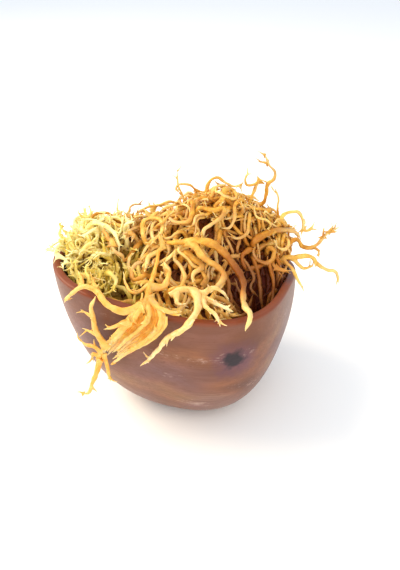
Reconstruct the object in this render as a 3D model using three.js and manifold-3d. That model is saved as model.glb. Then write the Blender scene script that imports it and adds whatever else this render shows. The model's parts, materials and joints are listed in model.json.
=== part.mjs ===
// A carved wooden bowl heaped with dried irish moss, in millimetres, +Z up.
// The origin is the middle of the bowl's flat foot, on the surface that it stands on.
// The moss is several bunches and fronds. Each is one solid, grown strand by strand so that no two meet.
import * as THREE from "three";
import { mergeVertices } from "three/addons/utils/BufferGeometryUtils.js";
import Module from "manifold-3d";

const wasm = await Module();
wasm.setup();

const { sin, cos, exp, hypot, abs, atan2, max, min, PI } = Math;
const { degToRad, lerp } = THREE.MathUtils;
const vec = (x, y, z) => new THREE.Vector3(x, y, z);

// The bowl: a rounded square plan over a small round foot, with a wavy rim that is highest at the front left.
const HALF_WIDTH = 70;
const SIDE_RATIO = 0.97;
const SQUARENESS = 3;
const PLAN_TURN = degToRad(-18);
const FOOT_RADIUS = 24;
const RIM_HEIGHT = 86;
const RIM_WAVE = 4.5;
const RIM_WAVE_TOWARDS = degToRad(-21);
const RIM_TILT = 15;
const RIM_TILT_TOWARDS = degToRad(225);
const RIM_SHIFT = [-6, 7];
const BULGE = 1.95;
const WALL = 5;
const LIP = 1.4;
const FLOOR = 9;
const INNER_FLOOR_RADIUS = 20;
const WALL_SLOPE = 0.85;
const BOWL_SIDES = 40;
const BOWL_RINGS = 9;
const RING_SPACING = 1.7;

// The heap: a base height with mounds and hollows, and a core that stays under the strands.
const HEAP_BASE = 84;
const MOUNDS = [
  { x: 18, y: 14, spread: 33, rise: 44 },
  { x: -56, y: 6, spread: 27, rise: 24 },
  { x: 42, y: -27, spread: 17, rise: -40 },
  { x: 44, y: 66, spread: 22, rise: -16 },
  { x: -30, y: 48, spread: 22, rise: -14 },
  { x: -24, y: -60, spread: 16, rise: -10 },
];
const STRAND_LAYER = 13;
const CORE_GAP = 0.8;
const CORE_SIDES = 24;
const CORE_UNDER_RIM = 7;
const CORE_EDGE_SHARE = 0.85;
const CORE_WALL_LEVELS = [0, 0.12, 0.35, 0.7, 1];
const CORE_COVER_RINGS = [0.88, 0.72, 0.54, 0.36, 0.18];
const HALF_SPACE = 300;

// Growth: how far a strand goes in one step, and the room that it keeps.
const STEP = 5.4;
const STATED_STEP = 4;
const GAP = 0.8;
const BOWL_GAP = 1.3;
const OVER_CORE_GAP = 1.8;
const SAMPLE_SLIP = 3.1;
const MAX_TURN = degToRad(62);
const PULL = 0.62;
const ARRIVED = 0.8;
const SELF_GAP = 2.2;
const NEWEST_SAMPLES = 6;
const SWERVES = [
  [0, 0], [24, 0], [24, 60], [24, -60], [46, 0], [46, 60], [46, -60], [46, 110],
  [46, -110], [70, 0], [70, 70], [70, -70], [46, 180],
].map(([away, round]) => [degToRad(away), degToRad(round)]);

// What a chance strand is made of, as ranges in millimetres and radians, and the least points it must have.
const CURLY_RADIUS = [1.3, 2];
const CURLY_LEGS = [2, 4.9];
const LEAST_CURLY = 6;
const LEG = [12, 20];
const LEG_RISE = [-4, 4];
const LEG_TURNS = [-1.1, -0.4, 0.4, 1.1];
const TURN_PLAY = [-0.3, 0.3];
const EARLY_CURL_SHARE = 0.45;
const CURL_RADIUS = [6, 9];
const CURL_TILT = [0.3, 1.2];
const CURL_LIFT = 2;
const TIP_RISE = [-4, 8];
const CEILING = 11;
const SPILL = 1.02;
const ROOT_DEPTH = 4;
const ROOT_SCATTER = [-26, 26];
const ROOT_TRIES = 14;
const ROOT_MARGIN = 3;
const ROOT_REACH = 0.86;
const HEAP_REACH = 0.95;

// A tuft's sprigs are short and splay out from its middle.
const SPRIG_RADIUS = [1.4, 1.9];
const SPRIG_SPLAY = 14;
const SPRIG_ASIDE = [-0.6, 0.6];
const SPRIG_REACH = [9, 15];
const LEAST_SPRIG = 3;
const SPRIG_RISE = [-3, 5];
const SPRIG_TURNS = [0, 1.6, 3.2, 4.8];

// A chance fork leaves its parent part of the way along.
const FORK_PLACE = [0.45, 0.9];
const FORK_ASIDE = [-0.8, 0.8];
const FORK_UP = [-0.2, 0.9];
const FORK_PLAY = [-3, 3];
const FORK_THINNER = 0.78;
const LEAST_FORK = 3;
const CURLY_FORK = [9, 18];
const SPRIG_FORK = [8, 11];

// How a strand's solid is faceted: its sides by its radius, and how far it thins.
const FIVE_SIDED_OVER = 2.2;
const FOUR_SIDED_OVER = 1.4;
const THINNING = 0.3;
const THIN_TIP = 0.45;
const POINT = 0.6;

// One seeded source of chance, so that every run grows the same heap.
class Dice {
  constructor(seed) {
    this.state = seed;
  }
  next() {
    this.state = (this.state * 16807) % 2147483647;
    return this.state / 2147483647;
  }
  within([low, high]) {
    return low + (high - low) * this.next();
  }
}

const planFactor = (angle) => {
  const a = angle - PLAN_TURN;
  const sum = abs(cos(a)) ** SQUARENESS + abs(sin(a) / SIDE_RATIO) ** SQUARENESS;
  return sum ** (-1 / SQUARENESS);
};
const rimHeight = (angle) => {
  const wave = RIM_WAVE * cos(2 * (angle - RIM_WAVE_TOWARDS));
  const tilt = RIM_TILT * cos(angle - RIM_TILT_TOWARDS);
  return RIM_HEIGHT + wave + tilt;
};
const swell = (share) => (1 - (1 - min(share, 1)) ** BULGE) ** (1 / BULGE);
const outerRadius = (angle, share) =>
  FOOT_RADIUS + (HALF_WIDTH * planFactor(angle) - FOOT_RADIUS) * swell(share);
const innerRadius = (angle, share) => {
  const floorShare = FLOOR / rimHeight(angle);
  const above = max(0, (share - floorShare) / (1 - floorShare));
  const mouth = HALF_WIDTH * planFactor(angle) - WALL;
  return INNER_FLOOR_RADIUS + (mouth - INNER_FLOOR_RADIUS) * swell(above);
};

// Where a point is against the bowl: its angle, its share of the rim's height, and its radius.
const bowlPlace = ({ x, y, z }) => {
  let share = z / RIM_HEIGHT;
  let angle = 0;
  let radius = 0;
  for (let turn = 0; turn < 2; turn += 1) {
    const lean = max(0, min(share, 1));
    const east = x - RIM_SHIFT[0] * lean;
    const north = y - RIM_SHIFT[1] * lean;
    angle = atan2(north, east);
    radius = hypot(east, north);
    share = z / rimHeight(angle);
  }
  return { angle, share, radius };
};
const bowlDistance = (point) => {
  const { angle, share, radius } = bowlPlace(point);
  const outside = radius - outerRadius(angle, share);
  const inside = min(innerRadius(angle, share) - radius, point.z - FLOOR);
  const sideways = max(outside, inside);
  if (share <= 1) return sideways * WALL_SLOPE;
  return hypot(max(0, sideways), point.z - rimHeight(angle));
};
const outsideBowl = (point) => {
  const { angle, share, radius } = bowlPlace(point);
  return radius > outerRadius(angle, share);
};

// The heap's height over a place in plan, where its strands lie, and the core's height under them.
const heapTop = (x, y) =>
  MOUNDS.reduce((height, m) => {
    const away = hypot(x - m.x, y - m.y) / m.spread;
    return height + m.rise * exp((-away * away) / 2);
  }, HEAP_BASE);
const coreTop = (x, y) => heapTop(x, y) - STRAND_LAYER;

// How far inside its own share of the heap a place is. Shares meet half way between two bunches.
const insideShare = (bunch, x, y) => {
  if (!bunch.at) return -Infinity;
  const [ax, ay] = bunch.at;
  return BUNCHES.filter((other) => other !== bunch).reduce((least, { at: [bx, by] }) => {
    const apart = hypot(bx - ax, by - ay);
    const nearer = ((x - bx) ** 2 + (y - by) ** 2 - (x - ax) ** 2 - (y - ay) ** 2) / 2;
    return min(least, nearer / apart);
  }, Infinity);
};

// Every strand laid so far, as points with a reach, so that the next one can keep clear of them.
const laid = [];
const hasRoom = (at, reach, bunch, start, mayTouch = false) => {
  if (bowlDistance(at) < reach + BOWL_GAP) return false;
  const overCore = at.z - coreTop(at.x, at.y) >= reach + OVER_CORE_GAP;
  const clearOfCores = overCore || outsideBowl(at) || insideShare(bunch, at.x, at.y) >= reach + GAP;
  if (!clearOfCores) return false;
  const ownRoom = 2.5 * reach + STEP;
  return laid.every((other) => {
    const own = other.bunch === bunch;
    if (own && (mayTouch || other.at.distanceTo(start) < ownRoom)) return true;
    const apart = reach + other.reach + (own ? 0 : GAP);
    return at.distanceToSquared(other.at) > apart ** 2 + SAMPLE_SLIP;
  });
};

// The one of several places that is furthest from every strand laid so far.
const roomAt = (at) => laid.reduce((least, other) => min(least, at.distanceToSquared(other.at)), Infinity);
const openest = (places) => {
  const rooms = places.map(({ at }) => roomAt(at));
  return places[rooms.indexOf(max(...rooms))];
};

// The headings that a strand tries in turn: straight on, then swerves, upwards first.
const headings = (wanted) => {
  const side = vec(0, 0, 1).cross(wanted);
  if (side.length() < 0.05) side.set(1, 0, 0);
  side.normalize();
  const lift = wanted.clone().cross(side);
  return SWERVES.map(([away, round]) =>
    wanted
      .clone()
      .multiplyScalar(cos(away))
      .addScaledVector(lift, sin(away) * cos(round))
      .addScaledVector(side, sin(away) * sin(round))
      .normalize(),
  );
};

// Grows a chance strand step by step past its targets, and stops it where nothing is clear.
// It stays under a ceiling over the heap and doesn't spill over the rim. One with too few points isn't laid.
const growStrand = ({ bunch, radius, targets, least }) => {
  const start = targets[0].clone();
  const path = [start];
  const mine = [];
  let at = start;
  let facing = targets[1].clone().sub(start).normalize();
  for (const target of targets.slice(1)) {
    const most = Math.ceil(at.distanceTo(target) / STEP) + 2;
    for (let step = 0; step < most && at.distanceTo(target) > STEP * ARRIVED; step += 1) {
      const wanted = facing
        .clone()
        .multiplyScalar(1 - PULL)
        .addScaledVector(target.clone().sub(at).normalize(), PULL)
        .normalize();
      const stride = min(STEP, at.distanceTo(target));
      const chosen = headings(wanted).find((way) => {
        if (way.angleTo(facing) > MAX_TURN) return false;
        const end = at.clone().addScaledVector(way, stride);
        if (end.z > heapTop(end.x, end.y) + CEILING || mouthShare(end) > SPILL) return false;
        const middle = at.clone().addScaledVector(way, stride / 2);
        const older = mine.slice(0, -NEWEST_SAMPLES);
        const clearOfItself = older.every((sample) => sample.distanceTo(end) > SELF_GAP * radius);
        return clearOfItself && [middle, end].every((place) => hasRoom(place, radius, bunch, start));
      });
      if (!chosen) return keepStrand({ path, mine, bunch, radius, least });
      const next = at.clone().addScaledVector(chosen, stride);
      mine.push(at.clone().add(next).multiplyScalar(0.5), next);
      path.push(next);
      at = next;
      facing = chosen;
    }
  }
  return keepStrand({ path, mine, bunch, radius, least });
};
const keepStrand = ({ path, mine, bunch, radius, least }) => {
  if (path.length < least) return { path: [], radius };
  laid.push(...mine.map((at) => ({ at, reach: radius, bunch })));
  return { path, radius };
};

// Lays a stated strand smoothly through its points, and stops it where it meets another bunch or the bowl.
const layStated = (bunch, radius, points) => {
  const curve = new THREE.CatmullRomCurve3(points, false, "centripetal");
  const steps = max(1, Math.round(curve.getLength() / STATED_STEP));
  const places = curve.getSpacedPoints(2 * steps);
  const stop = places.findIndex((at, i) => i > 0 && !hasRoom(at, radius, bunch, points[0], true));
  const clear = places.slice(0, stop < 0 ? places.length : stop);
  const path = clear.filter((_, i) => i % 2 === 0);
  return keepStrand({ path, mine: clear.slice(1), bunch, radius, least: 2 });
};

// The bunches that make up the heap. Each has a core in its own share of the bowl, and strands of its own.
// via lists the points that a strand passes, in millimetres, from its root to its tip.
const BUNCHES = [
  {
    name: "crown_bunch",
    finish: "golden",
    at: [20, 22],
    curly: 7,
    sprigs: 0,
    strands: [
      {
        radius: 1.5,
        via: [
          [32, 26, 102], [40, 23, 115], [46, 22, 121], [47, 22, 127], [47, 22, 132], [51, 22, 136],
          [51, 22, 141], [47, 22, 145], [44, 22, 153],
        ],
        forks: [{ at: 0.86, radius: 0.9, via: [[41, 22, 147]] }],
      },
      {
        radius: 1.5,
        via: [
          [32, 22, 106], [36, 22, 117], [38, 22, 124], [40, 22, 130], [43, 22, 135], [47, 22, 134],
        ],
        forks: [
          {
            at: 0.86,
            radius: 1.1,
            via: [[39, 22, 132], [35, 22, 132], [34, 22, 136], [35, 22, 139], [38, 22, 139]],
          },
        ],
      },
      { radius: 0.9, via: [[0, 26, 108], [-5, 24, 126], [-7, 24, 132], [-7, 24, 141]] },
      {
        radius: 1.3,
        via: [
          [13, 27, 110], [11, 25, 124], [5, 24, 127], [0, 24, 131], [-7, 24, 131], [-8, 24, 128],
          [-4, 24, 125],
        ],
      },
      {
        radius: 1.4,
        via: [
          [9, 28, 110], [11, 25, 124], [11, 24, 130], [14, 24, 135], [17, 24, 136], [21, 24, 133],
          [27, 24, 130], [31, 24, 130], [32, 24, 126],
        ],
      },
      {
        radius: 1.5,
        via: [
          [32, 18, 110], [32, 12, 127], [27, 6, 126], [27, 1, 121], [24, -4, 117], [19, -7, 118],
        ],
      },
      {
        radius: 1.5,
        via: [[30, 13, 106], [36, 8, 120], [35, 2, 115], [35, -1, 112], [30, -5, 110], [23, -8, 113]],
      },
    ],
  },
  {
    name: "right_bunch",
    finish: "golden",
    at: [52, 10],
    curly: 6,
    sprigs: 0,
    strands: [
      {
        radius: 1.8,
        via: [
          [52, 6, 86], [58, 5, 97], [65, 5, 104], [69, 5, 99], [74, 5, 98], [78, 5, 100], [81, 5, 105],
          [84, 5, 109], [90, 5, 112],
        ],
        forks: [
          { at: 0.62, radius: 1.2, via: [[79, 3, 96], [77, 1, 94]] },
          { at: 0.8, radius: 1, via: [[81, 5, 112]] },
          { at: 0.88, radius: 1, via: [[87, 5, 114]] },
        ],
      },
      {
        radius: 1.8,
        via: [
          [50, 0, 82], [58, 0, 94], [64, 0, 94], [70, 0, 95], [75, 0, 94], [79, 0, 89], [85, 0, 85],
          [90, 0, 84], [92, 0, 79], [93, 0, 75],
        ],
        forks: [
          { at: 0.3, radius: 1.2, via: [[67, 0, 89], [71, 0, 86], [75, 0, 88], [76, 0, 92]] },
          { at: 0.2, radius: 1.6, via: [[62, -5, 90], [65, -10, 85], [69, -14, 79]] },
        ],
      },
      {
        radius: 1.8,
        via: [
          [49, 14, 90], [55, 13, 111], [57, 13, 116], [61, 13, 118], [66, 13, 118], [69, 13, 114],
          [70, 13, 109], [69, 13, 103],
        ],
        forks: [{ at: 0.94, radius: 1.1, via: [[72, 13, 105], [75, 13, 107], [77, 13, 112]] }],
      },
      {
        radius: 1,
        via: [[48, 16, 98], [54, 18, 111], [54, 18, 120], [54, 18, 125], [52, 18, 129], [49, 18, 132]],
      },
      {
        radius: 2.2,
        via: [[42, 6, 94], [38, -3, 106], [47, 3, 109], [56, 9, 108], [65, 12, 105], [69, 12, 100]],
      },
      {
        radius: 1.9,
        via: [
          [47, 4, 90], [48, -2, 102], [51, -2, 100], [50, -5, 96], [46, -7, 94], [41, -7, 96],
          [38, -6, 101], [39, -4, 104],
        ],
      },
      {
        radius: 1.8,
        via: [[42, 4, 92], [38, -6, 98], [40, -9, 93], [42, -12, 86], [43, -18, 78], [44, -22, 70]],
      },
      {
        radius: 1.7,
        via: [[50, 2, 86], [48, -6, 94], [50, -10, 88], [51, -14, 82], [50, -19, 74], [48, -22, 66]],
      },
    ],
  },
  {
    name: "centre_bunch",
    finish: "golden",
    at: [-12, -8],
    curly: 10,
    sprigs: 0,
    strands: [
      {
        radius: 1.7,
        via: [
          [0, 2, 108], [2, 6, 129], [2, -2, 126], [0, -7, 122], [-7, -6, 121], [-13, 0, 121],
          [-13, -8, 117],
        ],
      },
      {
        radius: 1.8,
        via: [
          [4, -2, 108], [6, 0, 127], [14, -1, 126], [20, 2, 126], [20, -1, 124], [15, -6, 121],
          [9, -11, 119], [8, -16, 114],
        ],
      },
      {
        radius: 2,
        via: [[-8, -18, 98], [-1, -22, 110], [4, -25, 107], [8, -27, 104], [3, -32, 102], [3, -38, 98]],
      },
    ],
  },
  { name: "front_bunch", finish: "golden", at: [0, -42], curly: 10, sprigs: 0, strands: [] },
  { name: "hollow_bunch", finish: "golden", at: [36, -24], curly: 8, sprigs: 0, strands: [] },
  {
    name: "back_left_bunch",
    finish: "golden",
    at: [-24, 40],
    curly: 10,
    sprigs: 0,
    strands: [
      {
        radius: 1.2,
        via: [
          [-8, 34, 100], [-8, 28, 116], [-12, 26, 119], [-18, 26, 117], [-26, 24, 116], [-32, 20, 114],
          [-33, 14, 112], [-32, 13, 106], [-32, 12, 100],
        ],
      },
      { radius: 1.1, via: [[-12, 36, 96], [-12, 28, 110], [-19, 25, 110], [-27, 23, 107], [-33, 22, 108]] },
    ],
  },
  { name: "back_right_bunch", finish: "golden", at: [28, 56], curly: 10, sprigs: 0, strands: [] },
  {
    name: "pale_tuft",
    finish: "pale",
    at: [-54, 12],
    curly: 1,
    sprigs: 12,
    strands: [
      {
        radius: 1.5,
        via: [[-60, 14, 94], [-62, 14, 108], [-63, 14, 121]],
        forks: [
          { at: 0.7, radius: 1.2, via: [[-58, 14, 119]] },
          { at: 0.55, radius: 1.2, via: [[-67, 13, 118]] },
        ],
      },
      {
        radius: 1.3,
        via: [[-46, 22, 90], [-44, 24, 108], [-45, 25, 115], [-44, 26, 120]],
        forks: [{ at: 0.6, radius: 1, via: [[-39, 24, 109]] }],
      },
      {
        radius: 1.9,
        via: [
          [-62, 4, 92], [-61, 3, 112], [-56, 1, 117], [-50, -2, 117], [-44, -6, 115], [-41, -11, 111],
          [-40, -15, 105],
        ],
      },
    ],
  },
  { name: "green_tuft", finish: "green", at: [-46, -24], curly: 0, sprigs: 14, strands: [] },
];

// Single fronds that lie across the heap and over the rim. They have no core.
const FRONDS = [
  {
    name: "draped_frond",
    finish: "amber",
    strands: [
      {
        radius: 2.6,
        via: [
          [-17, -19, 110], [-18, -27, 105], [-20, -36, 102], [-21, -46, 101], [-22, -56, 100],
          [-26, -64, 98], [-32, -64, 90], [-38, -61, 81], [-45, -57, 70], [-50, -54, 60],
        ],
        forks: [
          { at: 0.3, radius: 1.9, via: [[-14, -42, 100], [-11, -34, 103], [-14, -25, 107]] },
          { at: 0.26, radius: 1, via: [[-29, -45, 98], [-34, -39, 98], [-37, -29, 102]] },
          {
            at: 0.4,
            radius: 2.4,
            via: [[-20, -66, 96], [-26, -65, 88], [-33, -63, 80], [-41, -59, 68]],
          },
          {
            at: 0.36,
            radius: 2.4,
            via: [
              [-15, -62, 100], [-14, -68, 94], [-20, -67, 85], [-27, -65, 77], [-35, -62, 69],
              [-43, -57, 58],
            ],
          },
          { at: 0.38, radius: 1.8, via: [[-14, -63, 100], [-8, -65, 99], [-3, -64, 99]] },
          {
            at: 0.46,
            radius: 2,
            via: [
              [-33, -62, 98], [-40, -60, 99], [-45, -56, 101], [-49, -50, 103], [-55, -48, 104],
              [-59, -49, 103], [-65, -49, 98], [-68, -47, 93],
            ],
            forks: [
              { at: 0.72, radius: 1.4, via: [[-58, -41, 104], [-62, -30, 103]] },
              { at: 0.6, radius: 1.2, via: [[-52, -38, 103], [-47, -37, 101]] },
            ],
          },
          { at: 0.56, radius: 1.3, via: [[-34, -63, 91], [-40, -60, 86], [-46, -57, 82]] },
          {
            at: 0.88,
            radius: 1.7,
            via: [[-47, -57, 73], [-50, -56, 79], [-51, -56, 87], [-52, -54, 95], [-49, -53, 101]],
            forks: [
              { at: 0.3, radius: 1, via: [[-53, -54, 78], [-59, -49, 77]] },
              { at: 0.65, radius: 0.9, via: [[-54, -54, 90], [-58, -52, 92]] },
            ],
          },
          { at: 0.95, radius: 1.4, via: [[-53, -53, 67], [-58, -50, 66], [-63, -47, 68]] },
          { at: 1, radius: 1.2, via: [[-54, -51, 60], [-57, -48, 53]] },
          { at: 0.97, radius: 1.5, via: [[-46, -57, 57], [-45, -58, 46]] },
          { at: 1, radius: 1.7, via: [[-52, -56, 52], [-55, -58, 45], [-58, -59, 38], [-62, -59, 37]] },
        ],
      },
    ],
  },
  {
    name: "arched_frond",
    finish: "golden",
    strands: [
      {
        radius: 2.6,
        via: [
          [-12, -14, 112], [-5, -20, 116], [3, -22, 118], [13, -24, 117], [21, -26, 111],
          [27, -30, 104], [31, -36, 98], [30, -46, 97], [30, -58, 98], [33, -65, 97], [30, -70, 91],
        ],
        forks: [
          {
            at: 0.17,
            radius: 2.2,
            via: [[9, -31, 112], [16, -33, 108], [20, -36, 104], [18, -41, 102], [12, -46, 99]],
          },
        ],
      },
    ],
  },
  {
    name: "rim_sprig",
    finish: "pale",
    strands: [
      {
        radius: 1.8,
        via: [
          [-10, -49, 99], [-6, -48, 101], [-3, -48, 102], [4, -48, 102], [8, -51, 100], [14, -54, 98],
          [19, -57, 97], [24, -60, 96],
        ],
        forks: [
          {
            at: 0.42,
            radius: 1.8,
            via: [
              [5, -56, 101], [5, -63, 99], [1, -69, 96], [-2, -71, 93], [-8, -70, 88], [-12, -69, 84],
              [-16, -67, 76], [-20, -65, 70], [-24, -63, 63],
            ],
          },
          { at: 0.5, radius: 1.4, via: [[13, -49, 104], [18, -50, 102], [22, -53, 99]] },
          { at: 0.66, radius: 1.2, via: [[16, -51, 94]] },
          { at: 0.1, radius: 1.4, via: [[-5, -56, 98], [-1, -57, 99]] },
          { at: 0.45, radius: 1.4, via: [[9, -59, 99], [14, -64, 98], [17, -69, 93]] },
        ],
      },
    ],
  },
];

// How far out in the bowl's mouth a place is, as a share of the way to the rim.
const mouthShare = ({ x, y }) => {
  const [east, north] = [x - RIM_SHIFT[0], y - RIM_SHIFT[1]];
  return hypot(east, north) / (HALF_WIDTH * planFactor(atan2(north, east)));
};
const overHeap = (x, y, above) => vec(x, y, heapTop(x, y) + above);
const openestOnHeap = (places) => {
  const onHeap = places.filter(({ at }) => mouthShare(at) < HEAP_REACH);
  return openest(onHeap.length ? onHeap : places);
};

// An open place in a bunch's share of the heap, for a root.
const rootIn = (bunch, dice) => {
  const [x, y] = bunch.at;
  const places = [{ at: overHeap(x, y, 0) }];
  for (let tries = 0; tries < ROOT_TRIES; tries += 1) {
    const at = overHeap(x + dice.within(ROOT_SCATTER), y + dice.within(ROOT_SCATTER), 0);
    if (mouthShare(at) < ROOT_REACH && insideShare(bunch, at.x, at.y) > ROOT_MARGIN) places.push({ at });
  }
  return openest(places).at;
};

// Points round most of a circle, which starts along a bearing and leans up from the heap.
const curlPoints = (x, y, bearing, dice) => {
  const radius = dice.within(CURL_RADIUS);
  const turn = dice.next() < 0.5 ? 1 : -1;
  const tilt = dice.within(CURL_TILT);
  return [1, 2, 3, 4, 5].map((sixth) => {
    const round = (sixth * PI) / 3;
    const ahead = radius * sin(round);
    const across = radius * (1 - cos(round));
    const aside = across * turn * cos(tilt);
    return vec(
      x + ahead * cos(bearing) - aside * sin(bearing),
      y + ahead * sin(bearing) + aside * cos(bearing),
      heapTop(x, y) + CURL_LIFT + across * sin(tilt),
    );
  });
};

// The points past which a chance strand wanders over the heap, from its root in the core.
const curlyTargets = (bunch, dice) => {
  let { x, y } = rootIn(bunch, dice);
  let bearing = dice.within([0, 2 * PI]);
  const knee = overHeap(x + ROOT_MARGIN * cos(bearing), y + ROOT_MARGIN * sin(bearing), -ROOT_DEPTH);
  const targets = [vec(x, y, coreTop(x, y) - ROOT_DEPTH), knee];
  const legs = Math.floor(dice.within(CURLY_LEGS));
  const curlAfter = dice.next() < EARLY_CURL_SHARE ? 0 : legs;
  for (let leg = 0; leg < legs; leg += 1) {
    const stride = dice.within(LEG);
    const ahead = { x: x + stride * cos(bearing), y: y + stride * sin(bearing) };
    const homeward = atan2(RIM_SHIFT[1] - y, RIM_SHIFT[0] - x);
    const onward = mouthShare(ahead) > HEAP_REACH ? homeward : bearing;
    const ways = LEG_TURNS.map((turn) => {
      const way = onward + turn + dice.within(TURN_PLAY);
      const at = overHeap(x + stride * cos(way), y + stride * sin(way), dice.within(LEG_RISE));
      return { at, way };
    });
    const chosen = openestOnHeap(ways);
    bearing = chosen.way;
    ({ x, y } = chosen.at);
    targets.push(chosen.at);
    if (leg === curlAfter) targets.push(...curlPoints(x, y, bearing, dice));
  }
  targets[targets.length - 1].z += dice.within(TIP_RISE);
  return targets;
};

// The points of a short branchlet of a tuft, which stands out from the tuft's middle.
const sprigTargets = (bunch, dice) => {
  const { x, y } = rootIn(bunch, dice);
  const way = vec((x - bunch.at[0]) / SPRIG_SPLAY, (y - bunch.at[1]) / SPRIG_SPLAY, 1);
  way.x += dice.within(SPRIG_ASIDE);
  way.y += dice.within(SPRIG_ASIDE);
  const start = vec(x, y, coreTop(x, y) - ROOT_DEPTH);
  const knee = start.clone().addScaledVector(way.normalize(), STRAND_LAYER);
  const bearing = dice.within([0, 2 * PI]);
  const places = SPRIG_TURNS.map((turn) => {
    const reach = dice.within(SPRIG_REACH);
    const [east, north] = [reach * cos(bearing + turn), reach * sin(bearing + turn)];
    return { at: knee.clone().add(vec(east, north, dice.within(SPRIG_RISE))) };
  });
  return [start, knee, openestOnHeap(places).at];
};

// A chance fork goes half its reach one way, and then strays a little.
const chanceFork = (bunch, parent, dice, reach) => {
  const along = Math.floor(parent.path.length * dice.within(FORK_PLACE));
  const place = parent.path[max(1, along)];
  const way = place.clone().sub(parent.path[max(1, along) - 1]).normalize();
  way.x += dice.within(FORK_ASIDE);
  way.y += dice.within(FORK_ASIDE);
  way.z += dice.within(FORK_UP);
  const half = way.setLength(reach / 2);
  const knee = place.clone().add(half);
  const play = vec(dice.within(FORK_PLAY), dice.within(FORK_PLAY), dice.within(FORK_PLAY));
  const tip = knee.clone().add(half).add(play);
  const radius = parent.radius * FORK_THINNER;
  const targets = [place.clone(), knee, tip];
  return growStrand({ bunch, radius, targets, least: LEAST_FORK });
};

// A stated strand with its forks. A fork starts at its place on the strand that bears it.
const growStated = (bunch, { radius, via, forks = [] }, root) => {
  const points = via.map((point) => vec(...point));
  const strand = layStated(bunch, radius, root ? [root, ...points] : points);
  if (!strand.path.length) return [];
  const branches = forks.flatMap((fork) => {
    const place = strand.path[Math.round(fork.at * (strand.path.length - 1))];
    return growStated(bunch, fork, place);
  });
  return [strand, ...branches];
};

// Any three.js geometry as a solid, with its corners merged and its faces outward.
const solidOf = (geometry) => {
  geometry.deleteAttribute("normal");
  geometry.deleteAttribute("uv");
  const merged = mergeVertices(geometry, 1e-4);
  const corners = merged.index.array;
  const kept = [];
  for (let i = 0; i < corners.length; i += 3) {
    const [a, b, c] = corners.slice(i, i + 3);
    if (a !== b && b !== c && c !== a) kept.push(a, b, c);
  }
  const vertProperties = merged.attributes.position.array;
  const make = (order) =>
    new wasm.Manifold(new wasm.Mesh({ numProp: 3, vertProperties, triVerts: new Uint32Array(order) }));
  const made = make(kept);
  return made.volume() > 0 ? made : make(kept.reverse());
};
const geometryOf = (solid) => {
  const { vertProperties, triVerts } = solid.getMesh();
  const geometry = new THREE.BufferGeometry();
  geometry.setAttribute("position", new THREE.BufferAttribute(vertProperties, 3));
  geometry.setIndex(new THREE.BufferAttribute(triVerts, 1));
  geometry.computeVertexNormals();
  return geometry;
};

// A closed turned shape whose rings are then given their own outline. Each ring is angle => [x, y, z].
const turnedSolid = (rings, bottom, top, sides) => {
  const levels = rings.map((_, i) => new THREE.Vector2(1, i + 1));
  const profile = [new THREE.Vector2(0, 0), ...levels, new THREE.Vector2(0, rings.length + 1)];
  const geometry = new THREE.LatheGeometry(profile, sides);
  const position = geometry.getAttribute("position");
  for (let i = 0; i < position.count; i += 1) {
    const level = Math.round(position.getY(i));
    const side = Math.round((atan2(position.getZ(i), position.getX(i)) * sides) / (2 * PI));
    const angle = (side * 2 * PI) / sides;
    const ends = level === 0 ? bottom : top;
    const at = rings[level - 1]?.(angle) ?? ends;
    position.setXYZ(i, ...at);
  }
  return solidOf(geometry);
};
const placeOnBowl = (angle, radius, share, z) => [
  radius * cos(angle) + RIM_SHIFT[0] * share,
  radius * sin(angle) + RIM_SHIFT[1] * share,
  z,
];

const bowlSolid = () => {
  const shares = Array.from({ length: BOWL_RINGS + 1 }, (_, i) => (i / BOWL_RINGS) ** RING_SPACING);
  const outer = shares.map((share) => (angle) => {
    const z = share * rimHeight(angle) - (share === 1 ? LIP : 0);
    return placeOnBowl(angle, outerRadius(angle, share), share, z);
  });
  const lip = [
    (angle) => placeOnBowl(angle, outerRadius(angle, 1) - LIP, 1, rimHeight(angle)),
    (angle) => placeOnBowl(angle, innerRadius(angle, 1) + LIP, 1, rimHeight(angle)),
  ];
  const inner = shares.toReversed().map((above) => (angle) => {
    const height = rimHeight(angle);
    const z = lerp(FLOOR, height, above) - (above === 1 ? LIP : 0);
    return placeOnBowl(angle, innerRadius(angle, z / height), z / height, z);
  });
  const middle = placeOnBowl(0, 0, FLOOR / RIM_HEIGHT, FLOOR);
  return turnedSolid([...outer, ...lip, ...inner], [0, 0, 0], middle, BOWL_SIDES);
};

// The heap's core: it fills the bowl under the strand layer, a small gap clear of the wood.
const heapCore = () => {
  const base = FLOOR + 3 * CORE_GAP;
  const edgeHeight = (angle) => {
    const [x, y] = placeOnBowl(angle, innerRadius(angle, CORE_EDGE_SHARE), CORE_EDGE_SHARE, 0);
    return min(coreTop(x, y), rimHeight(angle) - CORE_UNDER_RIM);
  };
  const side = CORE_WALL_LEVELS.map((level) => (angle) => {
    const z = lerp(base, edgeHeight(angle), level);
    const share = z / rimHeight(angle);
    return placeOnBowl(angle, innerRadius(angle, share) - 2 * CORE_GAP, share, z);
  });
  const cover = CORE_COVER_RINGS.map((inward) => (angle) => {
    const share = edgeHeight(angle) / rimHeight(angle);
    const [x, y] = placeOnBowl(angle, inward * innerRadius(angle, share), share, 0);
    return [x, y, coreTop(x, y)];
  });
  const [x, y] = placeOnBowl(0, 0, CORE_EDGE_SHARE, 0);
  return turnedSolid([...side, ...cover], [0, 0, base], [x, y, coreTop(x, y)], CORE_SIDES);
};

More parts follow.
